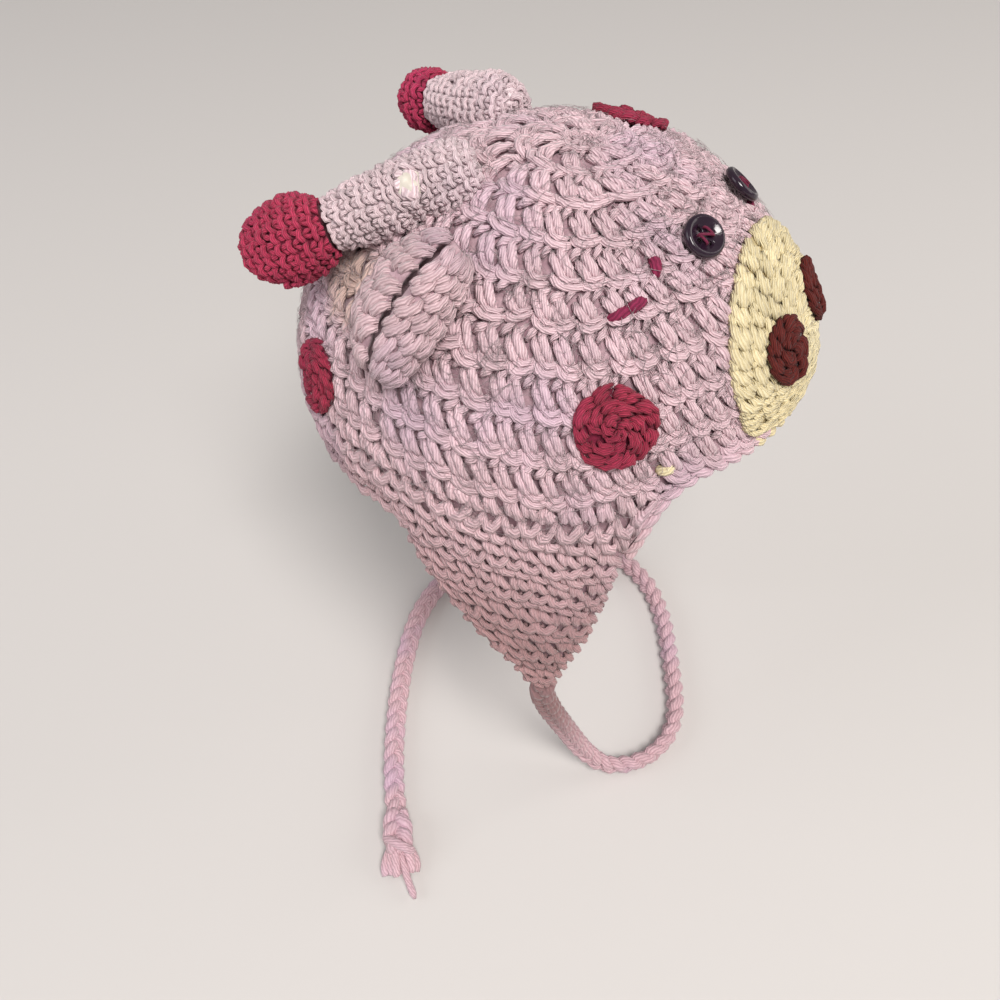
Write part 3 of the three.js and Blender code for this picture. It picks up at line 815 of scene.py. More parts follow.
class Fabric:
    """Collects rows of stitches, each laid over a surface, into one piece."""

    def __init__(self, name: str, seed: int, wobble: float = 1.25) -> None:
        """Starts an empty fabric.

        Args:
            name: Name of the piece.
            seed: Seed of its small differences from stitch to stitch.
            wobble: How uneven the stitches are.
        """
        self.name = name
        self.random = np.random.default_rng(seed)
        self.wobble = wobble
        self.bm = bmesh.new()
        self.places: list[np.ndarray] = []
        self.tones: list[np.ndarray] = []

    def row(
        self,
        stitch: Stitch,
        count: int,
        place: Placer,
        bulk: float = 1.0,
        lift: float = 0.0,
    ) -> None:
        """Adds one row of equal stitches.

        Args:
            stitch: The kind of stitch.
            count: How many stitches the row has.
            place: Gives the points for a share along the row, a share down it and a height.
            bulk: Scale of the stitch's own heights.
            lift: Height added to every point, in millimetres.
        """
        pattern = stitch.value
        cell = pattern.cell()
        flat = np.empty(len(cell.vertices) * 3)
        cell.vertices.foreach_get("co", flat)
        flat = flat.reshape(-1, 3)
        for index in range(count):
            self.bm.from_mesh(cell)
            sway = self.random.normal(0, self.wobble, 4)
            u = (flat[:, 0] / pattern.width * (1 + 0.06 * sway[3]) + index + 0.05 * sway[0]) / count
            v = flat[:, 1] / pattern.height + 0.022 * sway[1]
            v = v + 0.06 * sway[1] * sway[0] * (flat[:, 0] / pattern.width - 0.5)
            self.places.append(place(u, v, flat[:, 2] * bulk + lift + 0.2 * sway[2]))
            self.tones.append(np.full(len(flat), self.random.random()))

    def finish(self) -> bpy.types.Object:
        """Puts every stitch in its place and closes the piece.

        Returns:
            The new piece.
        """
        mesh = bpy.data.meshes.new(self.name)
        self.bm.to_mesh(mesh)
        self.bm.free()
        mesh.vertices.foreach_set("co", np.vstack(self.places).ravel() * MM)
        bm = bmesh.new()
        bm.from_mesh(mesh)
        bmesh.ops.recalc_face_normals(bm, faces=bm.faces)
        bpy.data.meshes.remove(mesh)
        piece = object_from(bm, self.name)
        add_tone(piece, np.concatenate(self.tones))
        return piece


class Face(Enum):
    """A side of the fabric: the depth its stitches lie at and the share of their height they keep."""

    RIGHT = (0.0, 1.0)
    WRONG = (-3.75, -0.72)

    def heights(self, w: np.ndarray) -> np.ndarray:
        """Turns a stitch's own heights into heights over the outer surface."""
        depth, share = self.value
        return depth + share * w


# ---------------------------------------------------------------- forms to work over
def unit_rows(rows: np.ndarray) -> np.ndarray:
    """Scales every row of an array to length 1."""
    return rows / np.linalg.norm(rows, axis=1, keepdims=True)


@dataclass(frozen=True)
class HeadForm:
    """The egg-shaped form of the crown's outer surface, in millimetres.

    Attributes:
        half_width: Half its width.
        half_front: Its reach to the forehead.
        half_back: Its reach to the back.
        height: Its height above its widest level.
        centre: The widest level.
    """

    half_width: float = 78.0
    half_front: float = 79.0
    half_back: float = 97.0
    height: float = 85.6
    centre: float = -80.6

    def normals(self, points: np.ndarray) -> np.ndarray:
        """Gives the outward directions at points of the form.

        Args:
            points: One row a point, in millimetres.

        Returns:
            One unit row a point.
        """
        length = np.where(points[:, 1] < 0, self.half_front, self.half_back)
        return unit_rows(np.stack([
            points[:, 0] / self.half_width**2,
            points[:, 1] / length**2,
            (points[:, 2] - self.centre) / self.height**2,
        ], axis=1))

    def place(self, turn: np.ndarray, slope: np.ndarray, lift: np.ndarray) -> np.ndarray:
        """Gives points of the form.

        Args:
            turn: Angle from the forehead towards the wearer's left.
            slope: Angle down from the top.
            lift: Height above the surface.

        Returns:
            One row a point.
        """
        length = np.where(np.cos(turn) > 0, self.half_front, self.half_back)
        points = np.stack([
            self.half_width * np.sin(slope) * np.sin(turn),
            -length * np.sin(slope) * np.cos(turn),
            self.centre + self.height * np.cos(slope),
        ], axis=1)
        return points + self.normals(points) * lift[:, None]

    def onto(self, points: np.ndarray, lift: np.ndarray) -> np.ndarray:
        """Drops points near the form onto it from its centre, then lifts them.

        Args:
            points: One row a point, in millimetres.
            lift: Height above the surface.

        Returns:
            One row a point.
        """
        length = np.where(points[:, 1] < 0, self.half_front, self.half_back)
        centre = np.array([0, 0, self.centre])
        off = points - centre
        share = np.sqrt((off[:, 0] / self.half_width) ** 2 + (off[:, 1] / length) ** 2 + (off[:, 2] / self.height) ** 2)
        surface = centre + off / share[:, None]
        return surface + self.normals(surface) * lift[:, None]

    def top_at(self, x: float, y: float) -> np.ndarray:
        """Gives the point of the form above a plan position.

        Args:
            x: Distance to the wearer's left.
            y: Distance towards the back.

        Returns:
            The point.
        """
        length = self.half_front if y < 0 else self.half_back
        rise = math.sqrt(1 - (x / self.half_width) ** 2 - (y / length) ** 2)
        return np.array([x, y, self.centre + self.height * rise])

    def slope_at(self, level: float) -> float:
        """Gives the slope angle at a level."""
        return math.acos((level - self.centre) / self.height)


HEAD = HeadForm()


def ease(value: np.ndarray, low: float, high: float) -> np.ndarray:
    """Gives a smooth step from 0 at low to 1 at high."""
    share = np.clip((value - low) / (high - low), 0, 1)
    return share * share * (3 - 2 * share)


def spread_apart(turn: np.ndarray, at: np.ndarray, middle_turn: float, middle_at: float, radius: float,
                 gap: float = 3.0, reach: float = 9.5) -> tuple[np.ndarray, np.ndarray]:
    """Pushes stitches away from one place on a turned form.

    Args:
        turn: Angle of each point round the axis.
        at: Distance of each point along the profile, in millimetres.
        middle_turn: Angle of the opening.
        middle_at: Distance of the opening along the profile.
        radius: Radius of the form there.
        gap: Half the opening's mean size.
        reach: How far from it the stitches move.

    Returns:
        The new angles and distances.
    """
    aside = (turn - middle_turn + math.pi) % (2 * math.pi) - math.pi
    across, along = aside * radius / 1.2, (at - middle_at) * 1.2
    off = np.hypot(across, along) + 1e-6
    scale = np.where(off < reach, (gap + off * (reach - gap) / reach) / off, 1.0)
    return turn + aside * (scale - 1), at + (at - middle_at) * (scale - 1)


@dataclass(frozen=True)
class TurnedForm:
    """A form turned about an axis, such as a horn.

    Attributes:
        base: Where the axis starts, in millimetres.
        direction: Where it points.
        profile: Radius and distance along the axis of each ring.
        opening: Turn and distance along the axis of a place where the stitches are spread apart.
    """

    base: Point
    direction: Point
    profile: tuple[tuple[float, float], ...]
    opening: tuple[float, float] | None = None

    def length(self) -> float:
        """Gives the length of the profile line."""
        rows = np.array(self.profile)
        return float(np.linalg.norm(np.diff(rows, axis=0), axis=1).sum())

    def radius(self, share: float) -> float:
        """Gives the radius along the profile.

        Args:
            share: Share of the profile line.

        Returns:
            The radius in millimetres.
        """
        rows = np.array(self.profile)
        reach = np.concatenate([[0], np.cumsum(np.linalg.norm(np.diff(rows, axis=0), axis=1))])
        return float(np.interp(share * reach[-1], reach, rows[:, 0]))

    def place(self, turn: np.ndarray, share: np.ndarray, lift: np.ndarray) -> np.ndarray:
        """Gives points of the form.

        Args:
            turn: Angle round the axis.
            share: Share of the profile line.
            lift: Height above the surface.

        Returns:
            One row a point.
        """
        rows = np.array(self.profile)
        reach = np.concatenate([[0], np.cumsum(np.linalg.norm(np.diff(rows, axis=0), axis=1))])
        at = np.clip(share, 0, 1) * reach[-1]
        if self.opening:
            middle = float(np.interp(self.opening[1], rows[:, 1], reach))
            turn, at = spread_apart(turn, at, self.opening[0], middle, rows[:, 0].max())
        radius, along = np.interp(at, reach, rows[:, 0]), np.interp(at, reach, rows[:, 1])
        before, after = np.clip(at - 1.5, 0, None), np.clip(at + 1.5, None, reach[-1])
        run = np.interp(after, reach, rows[:, 1]) - np.interp(before, reach, rows[:, 1])
        grow = np.interp(after, reach, rows[:, 0]) - np.interp(before, reach, rows[:, 0])
        size = np.hypot(run, grow) + 1e-9
        radius = np.maximum(radius + lift * run / size, 0.05)
        along = along - lift * grow / size
        axis = Vector(self.direction).normalized()
        side = axis.cross(Vector((0, 0, 1))).normalized()
        up = side.cross(axis)
        spread = np.cos(turn)[:, None] * np.array(side) + np.sin(turn)[:, None] * np.array(up)
        return np.array(self.base) + along[:, None] * np.array(axis) + radius[:, None] * spread


def turned_rows(fabric: Fabric, form: TurnedForm, first: float, last: float, gauge: float, bulk: float,
                lift: float) -> None:
    """Works short stitches round a turned form in rows.

    Args:
        fabric: The fabric to add to.
        form: The form.
        first: Share of the profile where the rows start.
        last: Share where they end.
        gauge: Size of a stitch in millimetres.
        bulk: Scale of the stitch's heights.
        lift: Height of the fabric's middle over the form.
    """
    rows = max(1, round(form.length() * (last - first) / gauge))
    for index in range(rows):
        top = first + (last - first) * index / rows
        bottom = first + (last - first) * (index + 1) / rows
        count = max(4, round(2 * math.pi * form.radius((top + bottom) / 2) / gauge))
        shift = 0.37 * index

        def place(u: np.ndarray, v: np.ndarray, w: np.ndarray) -> np.ndarray:
            """Lays a share of the row round the form."""
            return form.place(2 * math.pi * u + shift, top + (bottom - top) * v, w)

        fabric.row(Stitch.SHORT, count, place, bulk, lift)


def disc_rows(fabric: Fabric, place_at: Callable, radius: float, gauge: float, bulk: float, lift: float,
              stretch: float = 1.0) -> None:
    """Works short stitches in rounds from the middle of a disc out.

    Args:
        fabric: The fabric to add to.
        place_at: Gives points for an angle, a share of the radius and a height.
        radius: The disc's mean radius in millimetres.
        gauge: Size of a stitch in millimetres.
        bulk: Scale of the stitch's heights.
        lift: Height of the fabric's middle.
        stretch: Stitches in a round, as a share of what the gauge gives.
    """
    rounds = max(2, round(radius / gauge))
    for index in range(rounds):
        inner, outer = index / rounds, (index + 1) / rounds
        count = max(5, round(2 * math.pi * radius * (inner + outer) / 2 / gauge * stretch))
        shift = 0.61 * index

        def place(u: np.ndarray, v: np.ndarray, w: np.ndarray) -> np.ndarray:
            """Lays a share of the round on the disc."""
            return place_at(2 * math.pi * u + shift, inner + (outer - inner) * np.clip(v, -0.2, 1.1), w)

        fabric.row(Stitch.SLANT, count, place, bulk, lift)


# ---------------------------------------------------------------- ties
@dataclass
class BraidedTie:
    """A three-strand braid with its knot and its loose ends.

    Attributes:
        side: left or right, as the wearer has it.
        length: The braid's length in metres; not used.
        route: Its centre line in metres.
        diameter: Its thickness in metres; not used.
        pitch: Length of one full turn of the braid, in millimetres.
        seed: Seed of the loose ends.
    """

    side: str
    length: float
    route: tuple[Point, ...]
    diameter: float = 0.0106
    pitch: float = 21.0
    seed: int = 5

    def braid(self) -> bpy.types.Object:
        """Builds the three crossing strands.

        Returns:
            The braid.
        """
        steps = 170
        path = smooth_path(np.array(self.route) * 1000, steps)
        reach = np.concatenate([[0], np.cumsum(np.linalg.norm(np.diff(path, axis=0), axis=1))])
        frames = frames_along(path)
        bm = bmesh.new()
        for strand in range(3):
            phase = 2 * math.pi * (reach / self.pitch + strand / 3)
            across, over = 2.75 * np.sin(phase), 1.45 * np.sin(2 * phase)
            line = [tuple(f @ Vector((a, o, 0))) for f, a, o in zip(frames, across, over)]
            sweep(bm, np.array(line), 2.35, 8, flatten=0.92)
        bmesh.ops.scale(bm, vec=(MM,) * 3, verts=bm.verts)
        bmesh.ops.recalc_face_normals(bm, faces=bm.faces)
        piece = object_from(bm, f"tie_braid_{self.side}")
        add_tone(piece, 0.5)
        return piece

    def knot(self) -> bpy.types.Object:
        """Builds the overhand knot at the braid's end.

        Returns:
            The knot.
        """
        low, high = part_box(f"tie_knot_{self.side}")
        centre = (low + high) / 2 * 1000
        ahead = Vector(self.route[-1]) - Vector(self.route[-2])
        turn = Matrix.Rotation(math.atan2(ahead.y, ahead.x), 4, "Z")
        bm = bmesh.new()
        reach = np.linspace(-9.5, 8.5, 25)
        for strand in range(3):
            phase = 2 * math.pi * (reach / 19.0 + strand / 3)
            swell = 0.55 + 0.45 * np.cos(reach / 9.5 * math.pi / 2)
            lines = np.stack([reach, 4.0 * swell * np.sin(phase), 2.2 * swell * np.sin(2 * phase)], axis=1)
            sweep(bm, lines, 2.7, 8)
        around = np.linspace(0, 2 * math.pi, 29)
        wrap = np.stack([
            5.2 + 1.9 * np.sin(around) + 3.4 * np.cos(around), 4.9 * np.cos(around), 4.4 * np.sin(around),
        ], axis=1)
        sweep(bm, wrap, 1.9, 8, end_share=0.98)
        bmesh.ops.transform(bm, matrix=Matrix.Translation(centre) @ turn, verts=bm.verts)
        bmesh.ops.scale(bm, vec=(MM,) * 3, verts=bm.verts)
        bmesh.ops.recalc_face_normals(bm, faces=bm.faces)
        piece = object_from(bm, f"tie_end_knot_{self.side}")
        add_tone(piece, 0.35)
        return piece

    def tassel(self) -> bpy.types.Object:
        """Builds the loose yarn ends beyond the knot.

        Returns:
            The tassel.
        """
        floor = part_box(f"tie_tassel_{self.side}")[0].z * 1000
        ahead = (Vector(self.route[-1]) - Vector(self.route[-2])).normalized()
        aside = Vector((-ahead.y, ahead.x, 0))
        start = Vector(self.route[-1]) * 1000 + ahead * 11
        random = np.random.default_rng(self.seed)
        bm = bmesh.new()
        for end in range(7):
            spread = (end - 3) / 3
            tail = end == 4
            reach = 23 if tail else 12.5 + 3.5 * random.random()
            curl = random.normal(0, 1.2)
            points = []
            for share in (0.0, 0.3, 0.6, 0.85, 1.0):
                bend = 1.0 if tail else 1 - 0.22 * max(0.0, share - 0.8) / 0.2
                place = start + ahead * reach * share * bend
                wide = 2.4 + 3.6 * math.sin(share * (2.0 if tail else 2.6))
                place += aside * (spread * wide * (0.3 if tail else 1.0) + (4.0 if tail else curl) * share**2)
                place.z = floor + 2.0 + 3.4 * (1 - share) + 1.9 * (end % 3) * (1 - 0.7 * share)
                points.append(tuple(place))
            sweep(bm, smooth_path(points, 12), 1.5 if tail else 1.95, 8, end_share=0.5)
        bmesh.ops.scale(bm, vec=(MM,) * 3, verts=bm.verts)
        bmesh.ops.recalc_face_normals(bm, faces=bm.faces)
        piece = object_from(bm, f"tie_yarn_ends_{self.side}")
        add_tone(piece, 0.7)
        return piece

    def build(self) -> None:
        finish = Finish.NEAR_TIE if self.side == "right" else Finish.TIE
        braid = dress(self.braid(), finish, f"tie_{self.side}")
        knot = dress(self.knot(), finish, f"tie_knot_{self.side}")
        tassel = dress(self.tassel(), finish, f"tie_tassel_{self.side}")
        tuple(self.route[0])
        [tuple(p) for p in smooth_path(self.route, 120)]


RIGHT_ROUTE = (
    (-0.0681, -0.0203, -0.1695), (-0.0674, -0.0202, -0.1775), (-0.065, -0.0205, -0.186),
    (-0.0594, -0.0224, -0.203), (-0.0531, -0.0253, -0.221), (-0.048, -0.0289, -0.2375),
    (-0.0435, -0.034, -0.253), (-0.0406, -0.042, -0.2625), (-0.0361, -0.0498, -0.2656),
    (-0.0287, -0.0582, -0.2656), (-0.016, -0.0639, -0.2656), (-0.0027, -0.064, -0.2656),
    (0.0112, -0.0596, -0.2656), (0.0304, -0.0512, -0.2656), (0.0457, -0.0438, -0.2656),
    (0.057, -0.0365, -0.2656), (0.067, -0.0275, -0.2656), (0.0745, -0.016, -0.2656),
    (0.0785, -0.004, -0.2656), (0.081, 0.008, -0.2656), (0.0815, 0.02, -0.2656),
    (0.08, 0.032, -0.2656), (0.0775, 0.0393, -0.2656),
)
LEFT_ROUTE = (
    (0.0681, -0.0203, -0.1695), (0.0678, -0.02, -0.1775), (0.0664, -0.017, -0.192),
    (0.0636, -0.0105, -0.213), (0.0602, -0.003, -0.236), (0.0566, 0.007, -0.254),
    (0.0528, 0.018, -0.2638), (0.049, 0.032, -0.2656), (0.0425, 0.048, -0.2656),
    (0.0335, 0.062, -0.2656), (0.0215, 0.07, -0.2656), (0.006, 0.0715, -0.2656),
    (-0.008, 0.07, -0.2656), (-0.022, 0.0666, -0.2656), (-0.0417, 0.0602, -0.2656),
    (-0.0573, 0.054, -0.2656), (-0.0755, 0.0456, -0.2656), (-0.0885, 0.0384, -0.2656),
    (-0.1, 0.0312, -0.2656),
)


# ---------------------------------------------------------------- crown
PATCH_NODES = ("spot_right_side", "spot_back", "spot_left_top")
STITCH_SINK = 1.7  # millimetres, under a patch
FIBRE_SINK = 4.0


@cache
def patch_spots() -> tuple[tuple[np.ndarray, float], ...]:
    """Gives each round patch's middle and half its width, in millimetres."""
    boxes = [[np.array(corner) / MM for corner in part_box(node)] for node in PATCH_NODES]
    return tuple(((low + high) / 2, 0.5 * float(np.max(high - low))) for low, high in boxes)


def under_patch(points: np.ndarray, margin: float) -> np.ndarray:
    """Tells which points of the crown a round patch covers.

    Args:
        points: One row a point, in millimetres.
        margin: How far past a patch's edge still counts, in millimetres.

    Returns:
        One for each covered point, zero for the others.
    """
    covered = np.zeros(len(points))
    for middle, half in patch_spots():
        covered[np.linalg.norm(points - middle, axis=1) < half + margin] = 1.0
    return covered


@dataclass
class Crown:
    """The hat's body: rounds of tall stitches over a thinner back layer.

    Attributes:
        rounds: Slope at the top and bottom of each round in degrees, and its stitches.
        drop: Lowest level of the row that goes round the back only, below the front rim.
        nape: Levels of the short row that ends the nape.
        turn_start: Turn in degrees where the back-only rows start.
        rim: Level of the rim at each turn from the forehead.
        front_share: How much higher the rounds run at the forehead, as a share of their slope.
        back_depth: Depth of the back layer's outer face in millimetres.
        back_thickness: Its thickness.
    """

    rounds: tuple[tuple[float, float, int], ...] = (
        (3.7, 12.4, 9), (12.4, 21.1, 20), (21.1, 29.8, 31), (29.8, 38.35, 41), (38.35, 46.3, 48),
        (46.3, 55.4, 55), (55.4, 63.9, 62), (63.9, 72.7, 67), (72.7, 81.3, 70),
    )
    drop: float = -89.0
    nape: tuple[float, float] = (-89.0, -98.0)
    turn_start: float = 43.0
    rim: tuple[tuple[float, float], ...] = (
        (0, -60), (41, -60.5), (48, -64.5), (53.5, -74), (57, -96), (180, -97),
    )
    front_share: float = 0.057
    back_depth: float = 1.9
    back_thickness: float = 1.1

    def over(self, turn: np.ndarray, slope: np.ndarray, lift: np.ndarray) -> np.ndarray:
        """Places points on the crown, with the rounds a little higher at the forehead.

        Args:
            turn: Angle from the forehead towards the wearer's left.
            slope: Angle down from the top.
            lift: Height above the surface.

        Returns:
            One row a point.
        """
        front = ease(np.cos(turn), 0.25, 0.8)
        sway = 0.004 * np.sin(3 * turn + 9 * slope) + 0.003 * np.sin(7 * turn - 5 * slope)
        slope = slope * (1 - self.front_share * front) + sway
        foot = HEAD.place(turn, slope, np.zeros(len(turn)))
        return HEAD.place(turn, slope, lift - STITCH_SINK * under_patch(foot, -1.2))

    def stitches(self, face: Face) -> bpy.types.Object:
        """Works the rounds.

        Args:
            face: The side of the fabric that they show on.

        Returns:
            The stitches.
        """
        fabric = Fabric(f"crown_stitches_{face.name.lower()}_side", 11 if face is Face.RIGHT else 13)
        for index, (top, bottom, count) in enumerate(self.rounds):
            first, last = math.radians(top), math.radians(bottom)
            shift = 0.9 - 0.011 * index

            def place(u: np.ndarray, v: np.ndarray, w: np.ndarray) -> np.ndarray:
                """Lays a share of the round on the crown."""
                return self.over(2 * math.pi * u + shift, first + (last - first) * v, face.heights(w))

            fabric.row(Stitch.TALL, count, place)

        def middle(u: np.ndarray, v: np.ndarray, w: np.ndarray) -> np.ndarray:
            """Lays the ring that starts the rounds."""
            return self.over(2 * math.pi * u, math.radians(4.4) * (0.15 + 0.85 * v), face.heights(w - 0.4))

        fabric.row(Stitch.SHORT, 6, middle)
        start = math.radians(self.turn_start)
        span = 2 * math.pi - 2 * start

        def back_row(u: np.ndarray, v: np.ndarray, w: np.ndarray) -> np.ndarray:
            """Lays the row from one side of the brow round the back to the other, down to the rim.

            Args:
                u: Shares along the row.
                v: Shares down the row.
                w: Heights in millimetres.

            Returns:
                One row a point.
            """
            turn = start + span * u
            side = np.degrees(np.abs((turn + math.pi) % (2 * math.pi) - math.pi))
            level = np.maximum(np.interp(side, *zip(*self.rim)), self.drop)
            last = np.arccos((level - HEAD.centre) / HEAD.height)
            front = ease(np.cos(turn), 0.25, 0.8)
            first = math.radians(self.rounds[-1][1]) * (1 - self.front_share * front)
            return HEAD.place(turn, first + (last - first) * v, face.heights(w))

        fabric.row(Stitch.PAIR, 66, back_row)
        return fabric.finish()

    def nape_stitches(self) -> bpy.types.Object:
        """Works the short row that ends the nape, between the flaps.

        Returns:
            The stitches.
        """
        fabric = Fabric("nape_edge_stitches", 12)
        start, end = math.radians(107), math.radians(253)
        first, last = HEAD.slope_at(self.nape[0]), HEAD.slope_at(self.nape[1])

        def place(u: np.ndarray, v: np.ndarray, w: np.ndarray) -> np.ndarray:
            """Lays a share of the row on the nape."""
            return self.over(start + (end - start) * u, first + (last - first) * v, w)

        fabric.row(Stitch.SHORT, 38, place, 1.25, -0.6)
        return fabric.finish()

    def back_layer(self) -> bpy.types.Object:
        """Builds the layer behind the stitches, which is the hat's inside.

        Returns:
            The layer.
        """
        sectors, rings = 120, 30
        bm = bmesh.new()
        bmesh.ops.create_grid(bm, x_segments=sectors, y_segments=rings, size=1.0)
        for vert in bm.verts:
            turn = math.pi * vert.co.x
            share = (vert.co.y + 1) / 2
            level = np.interp(abs(math.degrees(turn)), *zip(*self.rim))
            slope = share * HEAD.slope_at(float(level))
            spot = HEAD.place(np.array([turn]), np.array([slope]), np.array([-self.back_depth]))[0]
            vert.co = Vector(spot) * MM
        bmesh.ops.remove_doubles(bm, verts=bm.verts, dist=2e-5)
        bmesh.ops.dissolve_degenerate(bm, edges=bm.edges, dist=1e-6)
        bmesh.ops.recalc_face_normals(bm, faces=bm.faces)
        piece = object_from(bm, "crown_inner_side")
        wall = piece.modifiers.new("wall", "SOLIDIFY")
        wall.thickness = self.back_thickness * MM
        wall.offset = -1.0
        return piece

    def build(self) -> None:
        """Builds the crown."""
        dress(self.back_layer(), Finish.LILAC_BACK, "crown")
        for face in Face:
            dress(self.stitches(face), Finish.LILAC)
        dress(self.nape_stitches(), Finish.LILAC)


@dataclass
class Flap:
    """An ear flap: rows of paired stitches that narrow to the tie.

    Attributes:
        side: left or right.
        levels: Levels between its rows in millimetres.
        outline: Level, half width, front and rear of the flap at each level.
    """

    side: str
    levels: tuple[float, ...] = (-89.0, -104.7, -119.7, -138.0, -157.0, -169.5)
    outline: tuple[tuple[float, float, float, float], ...] = (
        (-89.0, 77.2, -42.2, 36.0), (-97.0, 76.6, -41.5, 31.5), (-115.0, 76.4, -38.5, 22.5),
        (-135.0, 75.6, -34.5, 7.0), (-155.0, 74.2, -28.0, -9.5), (-169.0, 72.9, -24.0, -16.6),
    )

    def place(self, across: np.ndarray, level: np.ndarray, lift: np.ndarray) -> np.ndarray:
        """Gives points of the flap.

        Args:
            across: Share from its rear edge to its front edge.
            level: Height in millimetres.
            lift: Height above its outer surface.

        Returns:
            One row a point.
        """
        down = np.array([row[0] for row in self.outline])[::-1]
        wide, front, rear = (
            np.interp(level, down, np.array([row[k] for row in self.outline])[::-1]) for k in (1, 2, 3)
        )
        y = rear + (front - rear) * across
        length = np.where(y < 0, HEAD.half_front, HEAD.half_back)
        bow = np.sqrt(np.clip(1 - (y / length) ** 2, 0, 1))
        side = 1.0 if self.side == "left" else -1.0
        normal = unit_rows(np.stack([bow / wide, y / length**2, np.zeros_like(y)], axis=1))
        points = np.stack([wide * bow, y, level], axis=1) + normal * lift[:, None]
        return points * np.array([side, 1.0, 1.0])

    def stitches(self, face: Face) -> bpy.types.Object:
        """Works the rows.

        Args:
            face: The side of the fabric that they show on.

        Returns:
            The stitches.
        """
        seed = (21 if self.side == "left" else 22) + (0 if face is Face.RIGHT else 4)
        fabric = Fabric(f"ear_flap_stitches_{self.side}_{face.name.lower()}_side", seed)
        for top, bottom in zip(self.levels, self.levels[1:]):
            ends = self.place(np.array([0.0, 1.0]), np.array([(top + bottom) / 2] * 2), np.zeros(2))
            count = max(2, round(float(np.linalg.norm(ends[1] - ends[0])) * 1.04 / 6.0))

            def place(u: np.ndarray, v: np.ndarray, w: np.ndarray) -> np.ndarray:
                """Lays a share of the row on the flap.

                Args:
                    u: Shares along the row.
                    v: Shares down the row.
                    w: Heights in millimetres.

                Returns:
                    One row a point.
                """
                across = u if self.side == "right" else 1 - u
                edge = ease(np.abs(across - 0.5), 0.44, 0.54)
                return self.place(np.clip(across, -0.02, 1.02), top + (bottom - top) * v,
                                  face.heights(w - 2.0 * edge))

            fabric.row(Stitch.PAIR, count, place)
        return fabric.finish()

    def edge_loops(self) -> bpy.types.Object:
        """Builds the rounded turns of the rows along the two edges.

        Returns:
            The loops.
        """
        bm = bmesh.new()
        random = np.random.default_rng(31)
        tones = []
        for edge in (0.0, 1.0):
            outward = 1.0 if edge else -1.0
            for step in range(13):
                top = -91.5 - 6.0 * step
                if top < -165:
                    break
                rows = []
                for drop, lift, out in ((0.0, -0.9, -2.6), (1.6, -0.1, -0.4), (3.6, -1.6, 0.5), (5.2, -3.2, 0.0),
                                        (6.8, -4.4, -2.0)):
                    spot = self.place(np.array([edge]), np.array([top - drop]), np.array([lift]))[0]
                    rows.append((spot[0], spot[1] - outward * (out + random.normal(0, 0.12)), spot[2]))
                made = sweep(bm, smooth_path(rows, 6), 1.35, 6)
                tones.extend([random.random()] * len(made))
        bmesh.ops.scale(bm, vec=(MM,) * 3, verts=bm.verts)
        bmesh.ops.recalc_face_normals(bm, faces=bm.faces)
        piece = object_from(bm, f"ear_flap_edge_{self.side}")
        add_tone(piece, np.array(tones))
        return piece

    def back_layer(self) -> bpy.types.Object:
        """Builds the layer behind the stitches.

        Returns:
            The layer.
        """
        bm = bmesh.new()
        bmesh.ops.create_grid(bm, x_segments=24, y_segments=24, size=1.0)
        for vert in bm.verts:
            share = np.array([(vert.co.x + 1) / 2])
            level = np.array([-96.5 + (vert.co.y - 1) / 2 * 72.0])
            vert.co = Vector(self.place(share, level, np.array([-1.9]))[0]) * MM
        bmesh.ops.recalc_face_normals(bm, faces=bm.faces)
        middle = sum((face.normal.x for face in bm.faces))
        if middle * (1 if self.side == "left" else -1) < 0:
            bmesh.ops.reverse_faces(bm, faces=bm.faces)
        piece = object_from(bm, f"ear_flap_fabric_{self.side}")
        wall = piece.modifiers.new("wall", "SOLIDIFY")
        wall.thickness = 1.1 * MM
        wall.offset = -1.0
        return piece

    def build(self) -> None:
        layer = dress(self.back_layer(), Finish.LILAC_BACK, f"ear_flap_{self.side}")
        stitches = [dress(self.stitches(face), Finish.LILAC) for face in Face]
        edge = dress(self.edge_loops(), Finish.LILAC)


